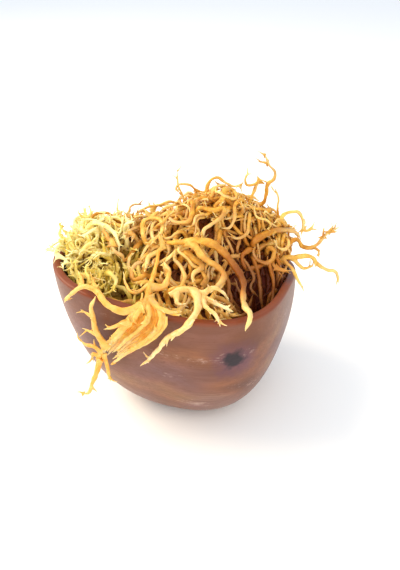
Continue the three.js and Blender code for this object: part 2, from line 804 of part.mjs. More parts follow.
// One bunch's share of the core, cut half way to each neighbour.
const coreOf = (bunch, whole) =>
  BUNCHES.filter((other) => other !== bunch).reduce((core, other) => {
    const [ax, ay] = bunch.at;
    const [bx, by] = other.at;
    const bearing = atan2(by - ay, bx - ax);
    const away = hypot(bx - ax, by - ay) / 2 - CORE_GAP / 2 + HALF_SPACE / 2;
    const beyond = new THREE.BoxGeometry(HALF_SPACE, HALF_SPACE, HALF_SPACE)
      .rotateZ(bearing)
      .translate(ax + away * cos(bearing), ay + away * sin(bearing), 0);
    return core.subtract(solidOf(beyond));
  }, whole);

// A strand's solid: a thin turned spindle, bent along the strand's path.
const sidesFor = (radius) => {
  if (radius > FIVE_SIDED_OVER) return 5;
  return radius > FOUR_SIDED_OVER ? 4 : 3;
};
const strandSolid = ({ path, radius }) => {
  const rings = path.length - 1;
  const curve = new THREE.CatmullRomCurve3(path, false, "centripetal");
  const frames = curve.computeFrenetFrames(rings, false);
  const width = (share) => radius * (share === 1 ? THIN_TIP : 1 - THINNING * share ** 2);
  const stations = Array.from({ length: rings + 1 }, (_, i) => (angle) => {
    const share = i / rings;
    return curve
      .getPointAt(share)
      .addScaledVector(frames.normals[i], width(share) * cos(angle))
      .addScaledVector(frames.binormals[i], width(share) * sin(angle))
      .toArray();
  });
  const tip = curve.getPointAt(1).addScaledVector(frames.tangents[rings], radius * POINT);
  return turnedSolid(stations, curve.getPointAt(0).toArray(), tip.toArray(), sidesFor(radius));
};

const FINISHES = {
  wood: { color: "#8a5638", roughness: 0.5, metalness: 0 },
  golden: { color: "#c98d33", roughness: 0.55, metalness: 0 },
  amber: { color: "#dc9238", roughness: 0.5, metalness: 0 },
  pale: { color: "#d8bd6c", roughness: 0.6, metalness: 0 },
  green: { color: "#a9a043", roughness: 0.6, metalness: 0 },
};
const meshOf = (name, solid, finish) => {
  const mesh = new THREE.Mesh(geometryOf(solid), new THREE.MeshStandardMaterial(FINISHES[finish]));
  mesh.name = name;
  return mesh;
};

// Grows the stated strands first, then the chance ones, one for each bunch in turn.
const SEED = 20611;
const growHeap = () => {
  const dice = new Dice(SEED);
  const grown = new Map();
  for (const bunch of [...FRONDS, ...BUNCHES]) {
    grown.set(bunch, bunch.strands.flatMap((strand) => growStated(bunch, strand)));
  }
  const addChance = (bunch, radius, targets, forkReach, least) => {
    const strand = growStrand({ bunch, radius: dice.within(radius), targets, least });
    if (!strand.path.length) return;
    grown.get(bunch).push(strand);
    const fork = chanceFork(bunch, strand, dice, dice.within(forkReach));
    if (fork.path.length) grown.get(bunch).push(fork);
  };
  const rounds = max(...BUNCHES.map(({ curly, sprigs }) => max(curly, sprigs)));
  for (let round = 0; round < rounds; round += 1) {
    for (const bunch of BUNCHES) {
      if (round < bunch.curly) {
        addChance(bunch, CURLY_RADIUS, curlyTargets(bunch, dice), CURLY_FORK, LEAST_CURLY);
      }
      if (round < bunch.sprigs) {
        addChance(bunch, SPRIG_RADIUS, sprigTargets(bunch, dice), SPRIG_FORK, LEAST_SPRIG);
      }
    }
  }
  return grown;
};

// Joins a bunch's strands to its body, and drops any that don't reach it.
const joined = (body, strands) => {
  const bodies = strands.reduce((fused, strand) => fused.add(strand), body).decompose();
  return bodies.reduce((largest, next) => (next.volume() > largest.volume() ? next : largest));
};

const whole = heapCore();
const root = new THREE.Group();
root.add(meshOf("bowl", bowlSolid(), "wood"));
for (const [bunch, strands] of growHeap()) {
  const solids = strands.map(strandSolid);
  const body = bunch.at ? coreOf(bunch, whole) : solids.shift();
  root.add(meshOf(bunch.name, joined(body, solids), bunch.finish));
}

export default root;
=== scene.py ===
"""A carved wooden bowl heaped with dried irish moss, built round its fixed frame.

The heap is grown by the same rules, and from the same chance source, as its solids, so each finer
piece keeps the form of the node that it replaces. Growth is worked out in millimetres, and meshes
are made in metres.
"""

from __future__ import annotations

import json
import logging
import math
from dataclasses import dataclass, field
from enum import Enum

import bpy
import numpy as np
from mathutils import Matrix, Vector, noise

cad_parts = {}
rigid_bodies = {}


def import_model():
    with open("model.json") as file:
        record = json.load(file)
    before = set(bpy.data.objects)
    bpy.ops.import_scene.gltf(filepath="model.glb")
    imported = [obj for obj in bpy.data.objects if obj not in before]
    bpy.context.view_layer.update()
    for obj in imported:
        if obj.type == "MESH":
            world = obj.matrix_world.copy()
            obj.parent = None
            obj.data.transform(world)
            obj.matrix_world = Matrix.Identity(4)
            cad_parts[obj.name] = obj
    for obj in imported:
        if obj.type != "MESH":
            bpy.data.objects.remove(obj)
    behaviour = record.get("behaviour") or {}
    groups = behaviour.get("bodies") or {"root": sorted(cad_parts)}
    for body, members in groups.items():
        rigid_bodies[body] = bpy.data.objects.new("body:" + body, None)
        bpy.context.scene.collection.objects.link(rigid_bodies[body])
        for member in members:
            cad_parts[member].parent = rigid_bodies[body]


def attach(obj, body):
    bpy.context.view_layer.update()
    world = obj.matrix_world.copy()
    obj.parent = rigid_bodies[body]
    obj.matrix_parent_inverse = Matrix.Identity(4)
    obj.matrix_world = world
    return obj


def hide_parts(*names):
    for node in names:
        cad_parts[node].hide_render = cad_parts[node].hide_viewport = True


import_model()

LOG = logging.getLogger("irish_moss")
MM = 0.001
SEED = 20611
ROOT_BODY = "root"

Span = tuple[float, float]
Point = tuple[float, float, float]
Tree = bpy.types.NodeTree
Socket = bpy.types.NodeSocket


def linear(hex_colour: str) -> tuple[float, float, float, float]:
    """Turns an sRGB hex colour into linear light.

    Args:
        hex_colour: Six hex digits after a hash.

    Returns:
        Linear red, green, blue and a full alpha.
    """
    parts = [int(hex_colour[i : i + 2], 16) / 255 for i in (1, 3, 5)]
    light = [c / 12.92 if c <= 0.04045 else ((c + 0.055) / 1.055) ** 2.4 for c in parts]
    return (*light, 1.0)


def unit(vector: np.ndarray) -> np.ndarray:
    """The same direction with length one."""
    return vector / max(float(np.linalg.norm(vector)), 1e-12)


def bearing_vector(bearing: float, reach: float) -> np.ndarray:
    """A level step of some reach along a bearing."""
    return np.array([reach * math.cos(bearing), reach * math.sin(bearing), 0.0])


def curve_points(controls: np.ndarray, along: np.ndarray) -> np.ndarray:
    """Finds points of the smooth curve through control points.

    Args:
        controls: The control points in rows, with one more before the first and after the last.
        along: How many spans along the curve each point is.

    Returns:
        The points, in rows.
    """
    span = np.minimum(along.astype(int), len(controls) - 4)
    share = (along - span)[:, None]
    before, start, end, after = (controls[span + i] for i in range(4))
    first, middle, last = (
        np.sqrt(np.linalg.norm(b - a, axis=1))[:, None]
        for a, b in ((before, start), (start, end), (end, after))
    )
    leaving = (start - before) / first - (end - before) / (first + middle) + (end - start) / middle
    arriving = (end - start) / middle - (after - start) / (middle + last) + (after - end) / last
    leaving, arriving = leaving * middle, arriving * middle
    square = -3 * start + 3 * end - 2 * leaving - arriving
    cube = 2 * start - 2 * end + leaving + arriving
    return start + leaving * share + square * share**2 + cube * share**3


def lengths_along(path: np.ndarray) -> np.ndarray:
    """How far along a path each of its points is."""
    return np.concatenate([[0], np.cumsum(np.linalg.norm(np.diff(path, axis=0), axis=1))])


def smooth_line(points: np.ndarray, spacing: float, splits: int = 1, divisions: int = 200) -> np.ndarray:
    """Draws a smooth line through points and divides it evenly.

    Args:
        points: The points that it passes, in rows.
        spacing: About how long a step is.
        splits: How many parts each step is divided into.
        divisions: How many chords measure the line's length.

    Returns:
        The line's points, in rows.
    """
    controls = np.vstack([2 * points[0] - points[1], points, 2 * points[-1] - points[-2]])
    places = np.linspace(0, len(points) - 1, divisions + 1)
    run = lengths_along(curve_points(controls, places))
    steps = max(1, math.floor(run[-1] / spacing + 0.5)) * splits
    evenly = np.interp(np.linspace(0, run[-1], steps + 1), run, places)
    return curve_points(controls, evenly)


class Dice:
    """One seeded source of chance, so that every run grows the same heap."""

    def __init__(self, seed: int) -> None:
        """Starts the source at a seed."""
        self.state = seed

    def next(self) -> float:
        """The next number between nought and one."""
        self.state = (self.state * 16807) % 2147483647
        return self.state / 2147483647

    def within(self, span: Span) -> float:
        """The next number inside a span."""
        return span[0] + (span[1] - span[0]) * self.next()


@dataclass(frozen=True)
class BowlForm:
    """The bowl's outline rules, in millimetres: a rounded square plan over a small round foot."""

    half_width: float = 70
    side_ratio: float = 0.97
    squareness: float = 3
    plan_turn: float = math.radians(-18)
    foot_radius: float = 24
    rim_height: float = 86
    rim_wave: float = 4.5
    wave_towards: float = math.radians(-21)
    rim_tilt: float = 15
    tilt_towards: float = math.radians(225)
    rim_shift: tuple[float, float] = (-6, 7)
    bulge: float = 1.95
    wall: float = 5
    lip: float = 1.4
    floor: float = 9
    inner_floor_radius: float = 20
    wall_slope: float = 0.85

    def plan_factor(self, angle: np.ndarray) -> np.ndarray:
        """Finds the plan's reach, which a rounded square has between its sides and corners.

        Args:
            angle: The angles that it is wanted at.

        Returns:
            The reaches, as shares of half the width.
        """
        turned = angle - self.plan_turn
        along = np.abs(np.cos(turned)) ** self.squareness
        across = np.abs(np.sin(turned) / self.side_ratio) ** self.squareness
        return (along + across) ** (-1 / self.squareness)

    def rim(self, angle: np.ndarray) -> np.ndarray:
        """The rim's height at an angle."""
        wave = self.rim_wave * np.cos(2 * (angle - self.wave_towards))
        return self.rim_height + wave + self.rim_tilt * np.cos(angle - self.tilt_towards)

    def swell(self, share: np.ndarray) -> np.ndarray:
        """How far out the wall is at a share of its height."""
        return (1 - (1 - np.clip(share, 0, 1)) ** self.bulge) ** (1 / self.bulge)

    def outer(self, angle: np.ndarray, share: np.ndarray) -> np.ndarray:
        """The outer wall's radius at an angle and a share of the height."""
        reach = self.half_width * self.plan_factor(angle) - self.foot_radius
        return self.foot_radius + reach * self.swell(share)

    def inner(self, angle: np.ndarray, share: np.ndarray) -> np.ndarray:
        """Finds the inner wall's radius, from the inner floor up to the mouth.

        Args:
            angle: The angles that it is wanted at.
            share: The shares of the rim's height there.

        Returns:
            The radii.
        """
        floor_share = self.floor / self.rim(angle)
        above = np.maximum(0, (share - floor_share) / (1 - floor_share))
        mouth = self.half_width * self.plan_factor(angle) - self.wall
        return self.inner_floor_radius + (mouth - self.inner_floor_radius) * self.swell(above)

    def locate(self, points: np.ndarray) -> tuple[np.ndarray, np.ndarray, np.ndarray]:
        """Finds where points are against the bowl.

        Args:
            points: Places in rows of three.

        Returns:
            Their angles, their shares of the rim's height, and their radii.
        """
        share = points[:, 2] / self.rim_height
        for _ in range(2):
            lean = np.clip(share, 0, 1)
            east = points[:, 0] - self.rim_shift[0] * lean
            north = points[:, 1] - self.rim_shift[1] * lean
            angle = np.arctan2(north, east)
            share = points[:, 2] / self.rim(angle)
        return angle, share, np.hypot(east, north)

    def clearance(self, points: np.ndarray) -> np.ndarray:
        """Measures how far points are from the bowl's wood.

        Args:
            points: Places in rows of three.

        Returns:
            The distances, which are below nought inside the wood.
        """
        angle, share, radius = self.locate(points)
        outside = radius - self.outer(angle, share)
        inside = np.minimum(self.inner(angle, share) - radius, points[:, 2] - self.floor)
        sideways = np.maximum(outside, inside)
        over = np.hypot(np.maximum(0, sideways), points[:, 2] - self.rim(angle))
        return np.where(share <= 1, sideways * self.wall_slope, over)

    def is_outside(self, points: np.ndarray) -> np.ndarray:
        """Whether points are beyond the outer wall."""
        angle, share, radius = self.locate(points)
        return radius > self.outer(angle, share)

    def mouth_share(self, x: np.ndarray, y: np.ndarray) -> np.ndarray:
        """How far out in the mouth places are, as a share of the way to the rim."""
        east, north = x - self.rim_shift[0], y - self.rim_shift[1]
        return np.hypot(east, north) / (self.half_width * self.plan_factor(np.arctan2(north, east)))

    def place(self, angle: float, radius: float, share: float, z: float) -> Point:
        """A point of the bowl, leaned over with the rim's shift."""
        east = radius * math.cos(angle) + self.rim_shift[0] * share
        return (east, radius * math.sin(angle) + self.rim_shift[1] * share, z)


@dataclass(frozen=True)
class Mound:
    """One swelling of the heap, or a hollow where its rise is below nought."""

    x: float
    y: float
    spread: float
    rise: float


@dataclass(frozen=True)
class HeapForm:
    """The heap's height over each place in plan, in millimetres."""

    base: float = 84
    strand_layer: float = 13
    mounds: tuple[Mound, ...] = (
        Mound(18, 14, 33, 44),
        Mound(-56, 6, 27, 24),
        Mound(42, -27, 17, -40),
        Mound(44, 66, 22, -16),
        Mound(-30, 48, 22, -14),
        Mound(-24, -60, 16, -10),
    )

    def top(self, x: np.ndarray, y: np.ndarray, with_hollows: bool = True) -> np.ndarray:
        """Finds the height that the strands lie at, or would without the hollows.

        Args:
            x: How far east the places are.
            y: How far north they are.
            with_hollows: Whether the hollows count.

        Returns:
            The heights.
        """
        height = self.base
        for mound in self.mounds:
            if mound.rise < 0 and not with_hollows:
                continue
            away = np.hypot(x - mound.x, y - mound.y) / mound.spread
            height = height + mound.rise * np.exp(-away * away / 2)
        return height

    def core(self, x: np.ndarray, y: np.ndarray) -> np.ndarray:
        """The height of the close tangle under them."""
        return self.top(x, y) - self.strand_layer


class Shade(Enum):
    """The four colours that the moss dries to, named as the record's material slots are."""

    GOLDEN = "golden"
    AMBER = "amber"
    PALE = "pale"
    GREEN = "green"


@dataclass(frozen=True)
class Route:
    """A stated strand: its radius, the points that it passes, and the forks that leave it."""

    radius: float
    via: tuple[Point, ...]
    forks: tuple[Route, ...] = ()
    at: float = 0.0
    broad: float = 1.15
    taper: float = 0.5
    root: float = 1.0
    edge: bool = False


@dataclass(frozen=True, eq=False)
class Bunch:
    """One node of moss: its stated strands, and how many chance ones grow in its share."""

    name: str
    shade: Shade
    routes: tuple[Route, ...] = ()
    at: tuple[float, float] | None = None
    curly: int = 0
    sprigs: int = 0
    fill_curly: int = 0
    fill_sprigs: int = 0
    spurs: float = 0.35
    tint: float | None = None


@dataclass(eq=False)
class Strand:
    """A grown strand: its points in millimetres, its radius, and what its look needs."""

    path: np.ndarray
    radius: float
    broad: float = 1.15
    taper: float = 0.3
    parent: Strand | None = None
    root: float = 1.0
    edge: bool = False
    buried: bool = False
    twist: float = 0.0
    tint: float | None = None


@dataclass(frozen=True)
class Gap:
    """A dark opening between the finer strands: where it opens on the heap, and how wide it is."""

    place: Point
    reach: float
    depth: float = 24
    way: Point = (0, 0.84, -0.54)

    def holds(self, points: np.ndarray) -> np.ndarray:
        """Tells which points are in the opening, which runs down into the heap from the front.

        Args:
            points: Places in rows of three.

        Returns:
            One truth value for each point.
        """
        away = points - self.place
        along = away @ np.array(self.way)
        aside = np.linalg.norm(away - along[:, None] * np.array(self.way), axis=1)
        return (aside < self.reach) & (along > -self.reach) & (along < self.depth)


GAPS = (
    Gap((-34, -2, 111), 7),
    Gap((-6, -26, 102), 7),
    Gap((-23, -36, 96), 5.5),
    Gap((19, -15, 103), 6.5),
    Gap((-42, -44, 97), 7),
    Gap((-50, -40, 97), 5),
    Gap((-12, -45, 94), 4),
    Gap((9, -5, 119), 4),
    Gap((36, -30, 90), 12, 30),
    Gap((46, -14, 87), 7),
    Gap((28, -52, 90), 6),
    Gap((12, -52, 91), 6),
    Gap((-40, -12, 106), 5),
)


FRONDS = (
    Bunch(
        "draped_frond",
        Shade.AMBER,
        tint=0.75,
        spurs=0.9,
        routes=(
            Route(
                2.6,
                (
                    (-17, -19, 110), (-18, -27, 105), (-20, -36, 102), (-21, -46, 101),
                    (-22, -56, 100), (-26, -64, 98), (-32, -64, 90), (-38, -61, 81), (-45, -57, 70),
                    (-50, -54, 60),
                ),
                root=0.45,
                edge=True,
                forks=(
                    Route(1.9, ((-14, -42, 100), (-11, -34, 103), (-14, -25, 107)), at=0.3),
                    Route(1, ((-29, -45, 98), (-34, -39, 98), (-37, -29, 102)), at=0.26),
                    Route(
                        2.4,
                        ((-20, -66, 96), (-26, -65, 88), (-33, -63, 80), (-41, -59, 68)),
                        at=0.4,
                        edge=True,
                    ),
                    Route(
                        2.4,
                        (
                            (-15, -62, 100), (-14, -68, 94), (-20, -67, 85), (-27, -65, 77),
                            (-35, -62, 69), (-43, -57, 58),
                        ),
                        at=0.36,
                        edge=True,
                    ),
                    Route(1.8, ((-14, -63, 100), (-8, -65, 99), (-3, -64, 99)), at=0.38),
                    Route(
                        2,
                        (
                            (-33, -62, 98), (-40, -60, 99), (-45, -56, 101), (-49, -50, 103),
                            (-55, -48, 104), (-59, -49, 103), (-65, -49, 98), (-68, -47, 93),
                        ),
                        at=0.46,
                        forks=(
                            Route(1.4, ((-58, -41, 104), (-62, -30, 103)), at=0.72),
                            Route(1.2, ((-52, -38, 103), (-47, -37, 101)), at=0.6),
                        ),
                    ),
                    Route(1.3, ((-34, -63, 91), (-40, -60, 86), (-46, -57, 82)), at=0.56),
                    Route(
                        1.7,
                        (
                            (-47, -57, 73), (-50, -56, 79), (-51, -56, 87), (-52, -54, 95),
                            (-49, -53, 101),
                        ),
                        at=0.88,
                        forks=(
                            Route(1, ((-53, -54, 78), (-59, -49, 77)), at=0.3),
                            Route(0.9, ((-54, -54, 90), (-58, -52, 92)), at=0.65),
                        ),
                    ),
                    Route(1.4, ((-53, -53, 67), (-58, -50, 66), (-63, -47, 68)), at=0.95),
                    Route(1.2, ((-54, -51, 60), (-57, -48, 53)), at=1),
                    Route(1.5, ((-46, -57, 57), (-45, -58, 46)), at=0.97),
                    Route(1.7, ((-52, -56, 52), (-55, -58, 45), (-58, -59, 38), (-62, -59, 37)), at=1),
                ),
            ),
        ),
    ),
    Bunch(
        "arched_frond",
        Shade.GOLDEN,
        tint=0.36,
        spurs=0.2,
        routes=(
            Route(
                2.6,
                (
                    (-12, -14, 112), (-5, -20, 116), (3, -22, 118), (13, -24, 117), (21, -26, 111),
                    (27, -30, 104), (31, -36, 98), (30, -46, 97), (30, -58, 98), (33, -65, 97),
                    (30, -70, 91),
                ),
                root=0.5,
                forks=(
                    Route(
                        2.2,
                        (
                            (9, -31, 112), (16, -33, 108), (20, -36, 104), (18, -41, 102),
                            (12, -46, 99),
                        ),
                        at=0.17,
                    ),
                ),
            ),
        ),
    ),
    Bunch(
        "rim_sprig",
        Shade.PALE,
        tint=0.45,
        spurs=1.8,
        routes=(
            Route(
                1.8,
                (
                    (-10, -49, 99), (-6, -48, 101), (-3, -48, 102), (4, -48, 102), (8, -51, 100),
                    (14, -54, 98), (19, -57, 97), (24, -60, 96),
                ),
                forks=(
                    Route(
                        1.8,
                        (
                            (5, -56, 101), (5, -63, 99), (1, -69, 96), (-2, -71, 93), (-8, -70, 88),
                            (-12, -69, 84), (-16, -67, 76), (-20, -65, 70), (-24, -63, 63),
                        ),
                        at=0.42,
                    ),
                    Route(1.4, ((13, -49, 104), (18, -50, 102), (22, -53, 99)), at=0.5),
                    Route(1.2, ((16, -51, 94),), at=0.66),
                    Route(1.4, ((-5, -56, 98), (-1, -57, 99)), at=0.1),
                    Route(1.4, ((9, -59, 99), (14, -64, 98), (17, -69, 93)), at=0.45),
                ),
            ),
        ),
    ),
)

BUNCHES = (
    Bunch(
        "crown_bunch",
        Shade.GOLDEN,
        at=(20, 22),
        curly=7,
        fill_curly=60,
        routes=(
            Route(
                1.5,
                (
                    (32, 26, 102), (40, 23, 115), (46, 22, 121), (47, 22, 127), (47, 22, 132),
                    (51, 22, 136), (51, 22, 141), (47, 22, 145), (44, 22, 153),
                ),
                forks=(
                    Route(0.9, ((41, 22, 147),), at=0.86),
                ),
            ),
            Route(
                1.5,
                (
                    (32, 22, 106), (36, 22, 117), (38, 22, 124), (40, 22, 130), (43, 22, 135),
                    (47, 22, 134),
                ),
                forks=(
                    Route(
                        1.1,
                        (
                            (39, 22, 132), (35, 22, 132), (34, 22, 136), (35, 22, 139), (38, 22, 139),
                        ),
                        at=0.86,
                    ),
                ),
            ),
            Route(0.9, ((0, 26, 108), (-5, 24, 126), (-7, 24, 132), (-7, 24, 141))),
            Route(
                1.3,
                (
                    (13, 27, 110), (11, 25, 124), (5, 24, 127), (0, 24, 131), (-7, 24, 131),
                    (-8, 24, 128), (-4, 24, 125),
                ),
            ),
            Route(
                1.4,
                (
                    (9, 28, 110), (11, 25, 124), (11, 24, 130), (14, 24, 135), (17, 24, 136),
                    (21, 24, 133), (27, 24, 130), (31, 24, 130), (32, 24, 126),
                ),
            ),
            Route(
                1.5,
                (
                    (32, 18, 110), (32, 12, 127), (27, 6, 126), (27, 1, 121), (24, -4, 117),
                    (19, -7, 118),
                ),
            ),
            Route(
                1.5,
                (
                    (30, 13, 106), (36, 8, 120), (35, 2, 115), (35, -1, 112), (30, -5, 110),
                    (23, -8, 113),
                ),
            ),
        ),
    ),
    Bunch(
        "right_bunch",
        Shade.GOLDEN,
        at=(52, 10),
        curly=6,
        fill_curly=50,
        routes=(
            Route(
                1.8,
                (
                    (52, 6, 86), (58, 5, 97), (65, 5, 104), (69, 5, 99), (74, 5, 98), (78, 5, 100),
                    (81, 5, 105), (84, 5, 109), (90, 5, 112),
                ),
                forks=(
                    Route(1.2, ((79, 3, 96), (77, 1, 94)), at=0.62),
                    Route(1, ((81, 5, 112),), at=0.8),
                    Route(1, ((87, 5, 114),), at=0.88),
                ),
            ),
            Route(
                1.8,
                (
                    (50, 0, 82), (58, 0, 94), (64, 0, 94), (70, 0, 95), (75, 0, 94), (79, 0, 89),
                    (85, 0, 85), (90, 0, 84), (92, 0, 79), (93, 0, 75),
                ),
                forks=(
                    Route(1.2, ((67, 0, 89), (71, 0, 86), (75, 0, 88), (76, 0, 92)), at=0.3),
                    Route(1.6, ((62, -5, 90), (65, -10, 85), (69, -14, 79)), at=0.2),
                ),
            ),
            Route(
                1.8,
                (
                    (49, 14, 90), (55, 13, 111), (57, 13, 116), (61, 13, 118), (66, 13, 118),
                    (69, 13, 114), (70, 13, 109), (69, 13, 103),
                ),
                forks=(
                    Route(1.1, ((72, 13, 105), (75, 13, 107), (77, 13, 112)), at=0.94),
                ),
            ),
            Route(
                1,
                (
                    (48, 16, 98), (54, 18, 111), (54, 18, 120), (54, 18, 125), (52, 18, 129),
                    (49, 18, 132),
                ),
            ),
            Route(
                2.2,
                (
                    (42, 6, 94), (38, -3, 106), (47, 3, 109), (56, 9, 108), (65, 12, 105),
                    (69, 12, 100),
                ),
            ),
            Route(
                1.9,
                (
                    (47, 4, 90), (48, -2, 102), (51, -2, 100), (50, -5, 96), (46, -7, 94),
                    (41, -7, 96), (38, -6, 101), (39, -4, 104),
                ),
            ),
            Route(
                1.8,
                (
                    (42, 4, 92), (38, -6, 98), (40, -9, 93), (42, -12, 86), (43, -18, 78),
                    (44, -22, 70),
                ),
            ),
            Route(
                1.7,
                (
                    (50, 2, 86), (48, -6, 94), (50, -10, 88), (51, -14, 82), (50, -19, 74),
                    (48, -22, 66),
                ),
            ),
        ),
    ),
    Bunch(
        "centre_bunch",
        Shade.GOLDEN,
        at=(-12, -8),
        curly=10,
        fill_curly=60,
        routes=(
            Route(
                1.7,
                (
                    (0, 2, 108), (2, 6, 129), (2, -2, 126), (0, -7, 122), (-7, -6, 121), (-13, 0, 121),
                    (-13, -8, 117),
                ),
            ),
            Route(
                1.8,
                (
                    (4, -2, 108), (6, 0, 127), (14, -1, 126), (20, 2, 126), (20, -1, 124),
                    (15, -6, 121), (9, -11, 119), (8, -16, 114),
                ),
            ),
            Route(
                2,
                (
                    (-8, -18, 98), (-1, -22, 110), (4, -25, 107), (8, -27, 104), (3, -32, 102),
                    (3, -38, 98),
                ),
            ),
        ),
    ),
    Bunch(
        "front_bunch",
        Shade.GOLDEN,
        at=(0, -42),
        curly=10,
        fill_curly=52,
    ),
    Bunch(
        "hollow_bunch",
        Shade.GOLDEN,
        at=(36, -24),
        curly=8,
        fill_curly=24,
    ),
    Bunch(
        "back_left_bunch",
        Shade.GOLDEN,
        at=(-24, 40),
        curly=10,
        fill_curly=56,
        routes=(
            Route(
                1.2,
                (
                    (-8, 34, 100), (-8, 28, 116), (-12, 26, 119), (-18, 26, 117), (-26, 24, 116),
                    (-32, 20, 114), (-33, 14, 112), (-32, 13, 106), (-32, 12, 100),
                ),
            ),
            Route(1.1, ((-12, 36, 96), (-12, 28, 110), (-19, 25, 110), (-27, 23, 107), (-33, 22, 108))),
        ),
    ),
    Bunch(
        "back_right_bunch",
        Shade.GOLDEN,
        at=(28, 56),
        curly=10,
        fill_curly=48,
    ),
    Bunch(
        "pale_tuft",
        Shade.PALE,
        at=(-54, 12),
        curly=1,
        sprigs=12,
        fill_sprigs=90,
        spurs=3.1,
        routes=(
            Route(
                1.5,
                ((-60, 14, 94), (-62, 14, 108), (-63, 14, 121)),
                forks=(
                    Route(1.2, ((-58, 14, 119),), at=0.7),
                    Route(1.2, ((-67, 13, 118),), at=0.55),
                ),
            ),
            Route(
                1.3,
                ((-46, 22, 90), (-44, 24, 108), (-45, 25, 115), (-44, 26, 120)),
                forks=(
                    Route(1, ((-39, 24, 109),), at=0.6),
                ),
            ),
            Route(
                1.9,
                (
                    (-62, 4, 92), (-61, 3, 112), (-56, 1, 117), (-50, -2, 117), (-44, -6, 115),
                    (-41, -11, 111), (-40, -15, 105),
                ),
            ),
        ),
    ),
    Bunch(
        "green_tuft",
        Shade.GREEN,
        at=(-46, -24),
        sprigs=14,
        fill_sprigs=80,
        spurs=3.1,
    ),
)


@dataclass(frozen=True)
class Room:
    """The room that a strand keeps, in millimetres, to what is already there."""

    strand_gap: float
    bowl_gap: float
    core_gap: float
    slip: float
    squeeze: float = 1.0


@dataclass(frozen=True)
class Manner:
    """How one kind of chance strand grows: the spans that its sizes are drawn from."""

    radius: Span
    fork: Span
    least: int
    legs: Span = (2, 4.9)
    leg: Span = (12, 20)
    rise: Span = (-4, 4)
    tip_rise: Span = (-4, 8)
    curl: Span = (6, 9)
    curled_legs: tuple[int, ...] = (0,)
    curled_share: float = 0.45
    ceiling: float = 11
    least_fork: int = 3
    taper: float = 0.4


MAIN_ROOM = Room(strand_gap=0.8, bowl_gap=1.3, core_gap=1.8, slip=3.1)
FILL_ROOM = Room(strand_gap=0.0, bowl_gap=0.8, core_gap=-0.6, slip=0.0, squeeze=0.5)
CURLY = Manner(radius=(1.3, 2), fork=(9, 18), least=6)
SPRIG = Manner(radius=(1.4, 1.9), fork=(8, 11), least=3, tip_rise=(-3, 5))
FILL_CURLY = Manner(
    radius=(1.15, 1.85),
    fork=(7, 15),
    least=8,
    legs=(3, 5.9),
    leg=(8, 15),
    rise=(-7, 2),
    tip_rise=(-12, -4),
    curl=(4.5, 7.5),
    curled_legs=(0, 2),
    curled_share=0.85,
    ceiling=7,
    least_fork=4,
    taper=0.6,
)
FILL_STEP = 3.8
FILL_BACK_SPILL = 0.09
FILL_ROOT_REACH = 0.92
FILL_SPRIG = Manner(
    radius=(1, 1.8), fork=(5, 10), least=5, tip_rise=(-1, 8), ceiling=12, taper=0.45
)


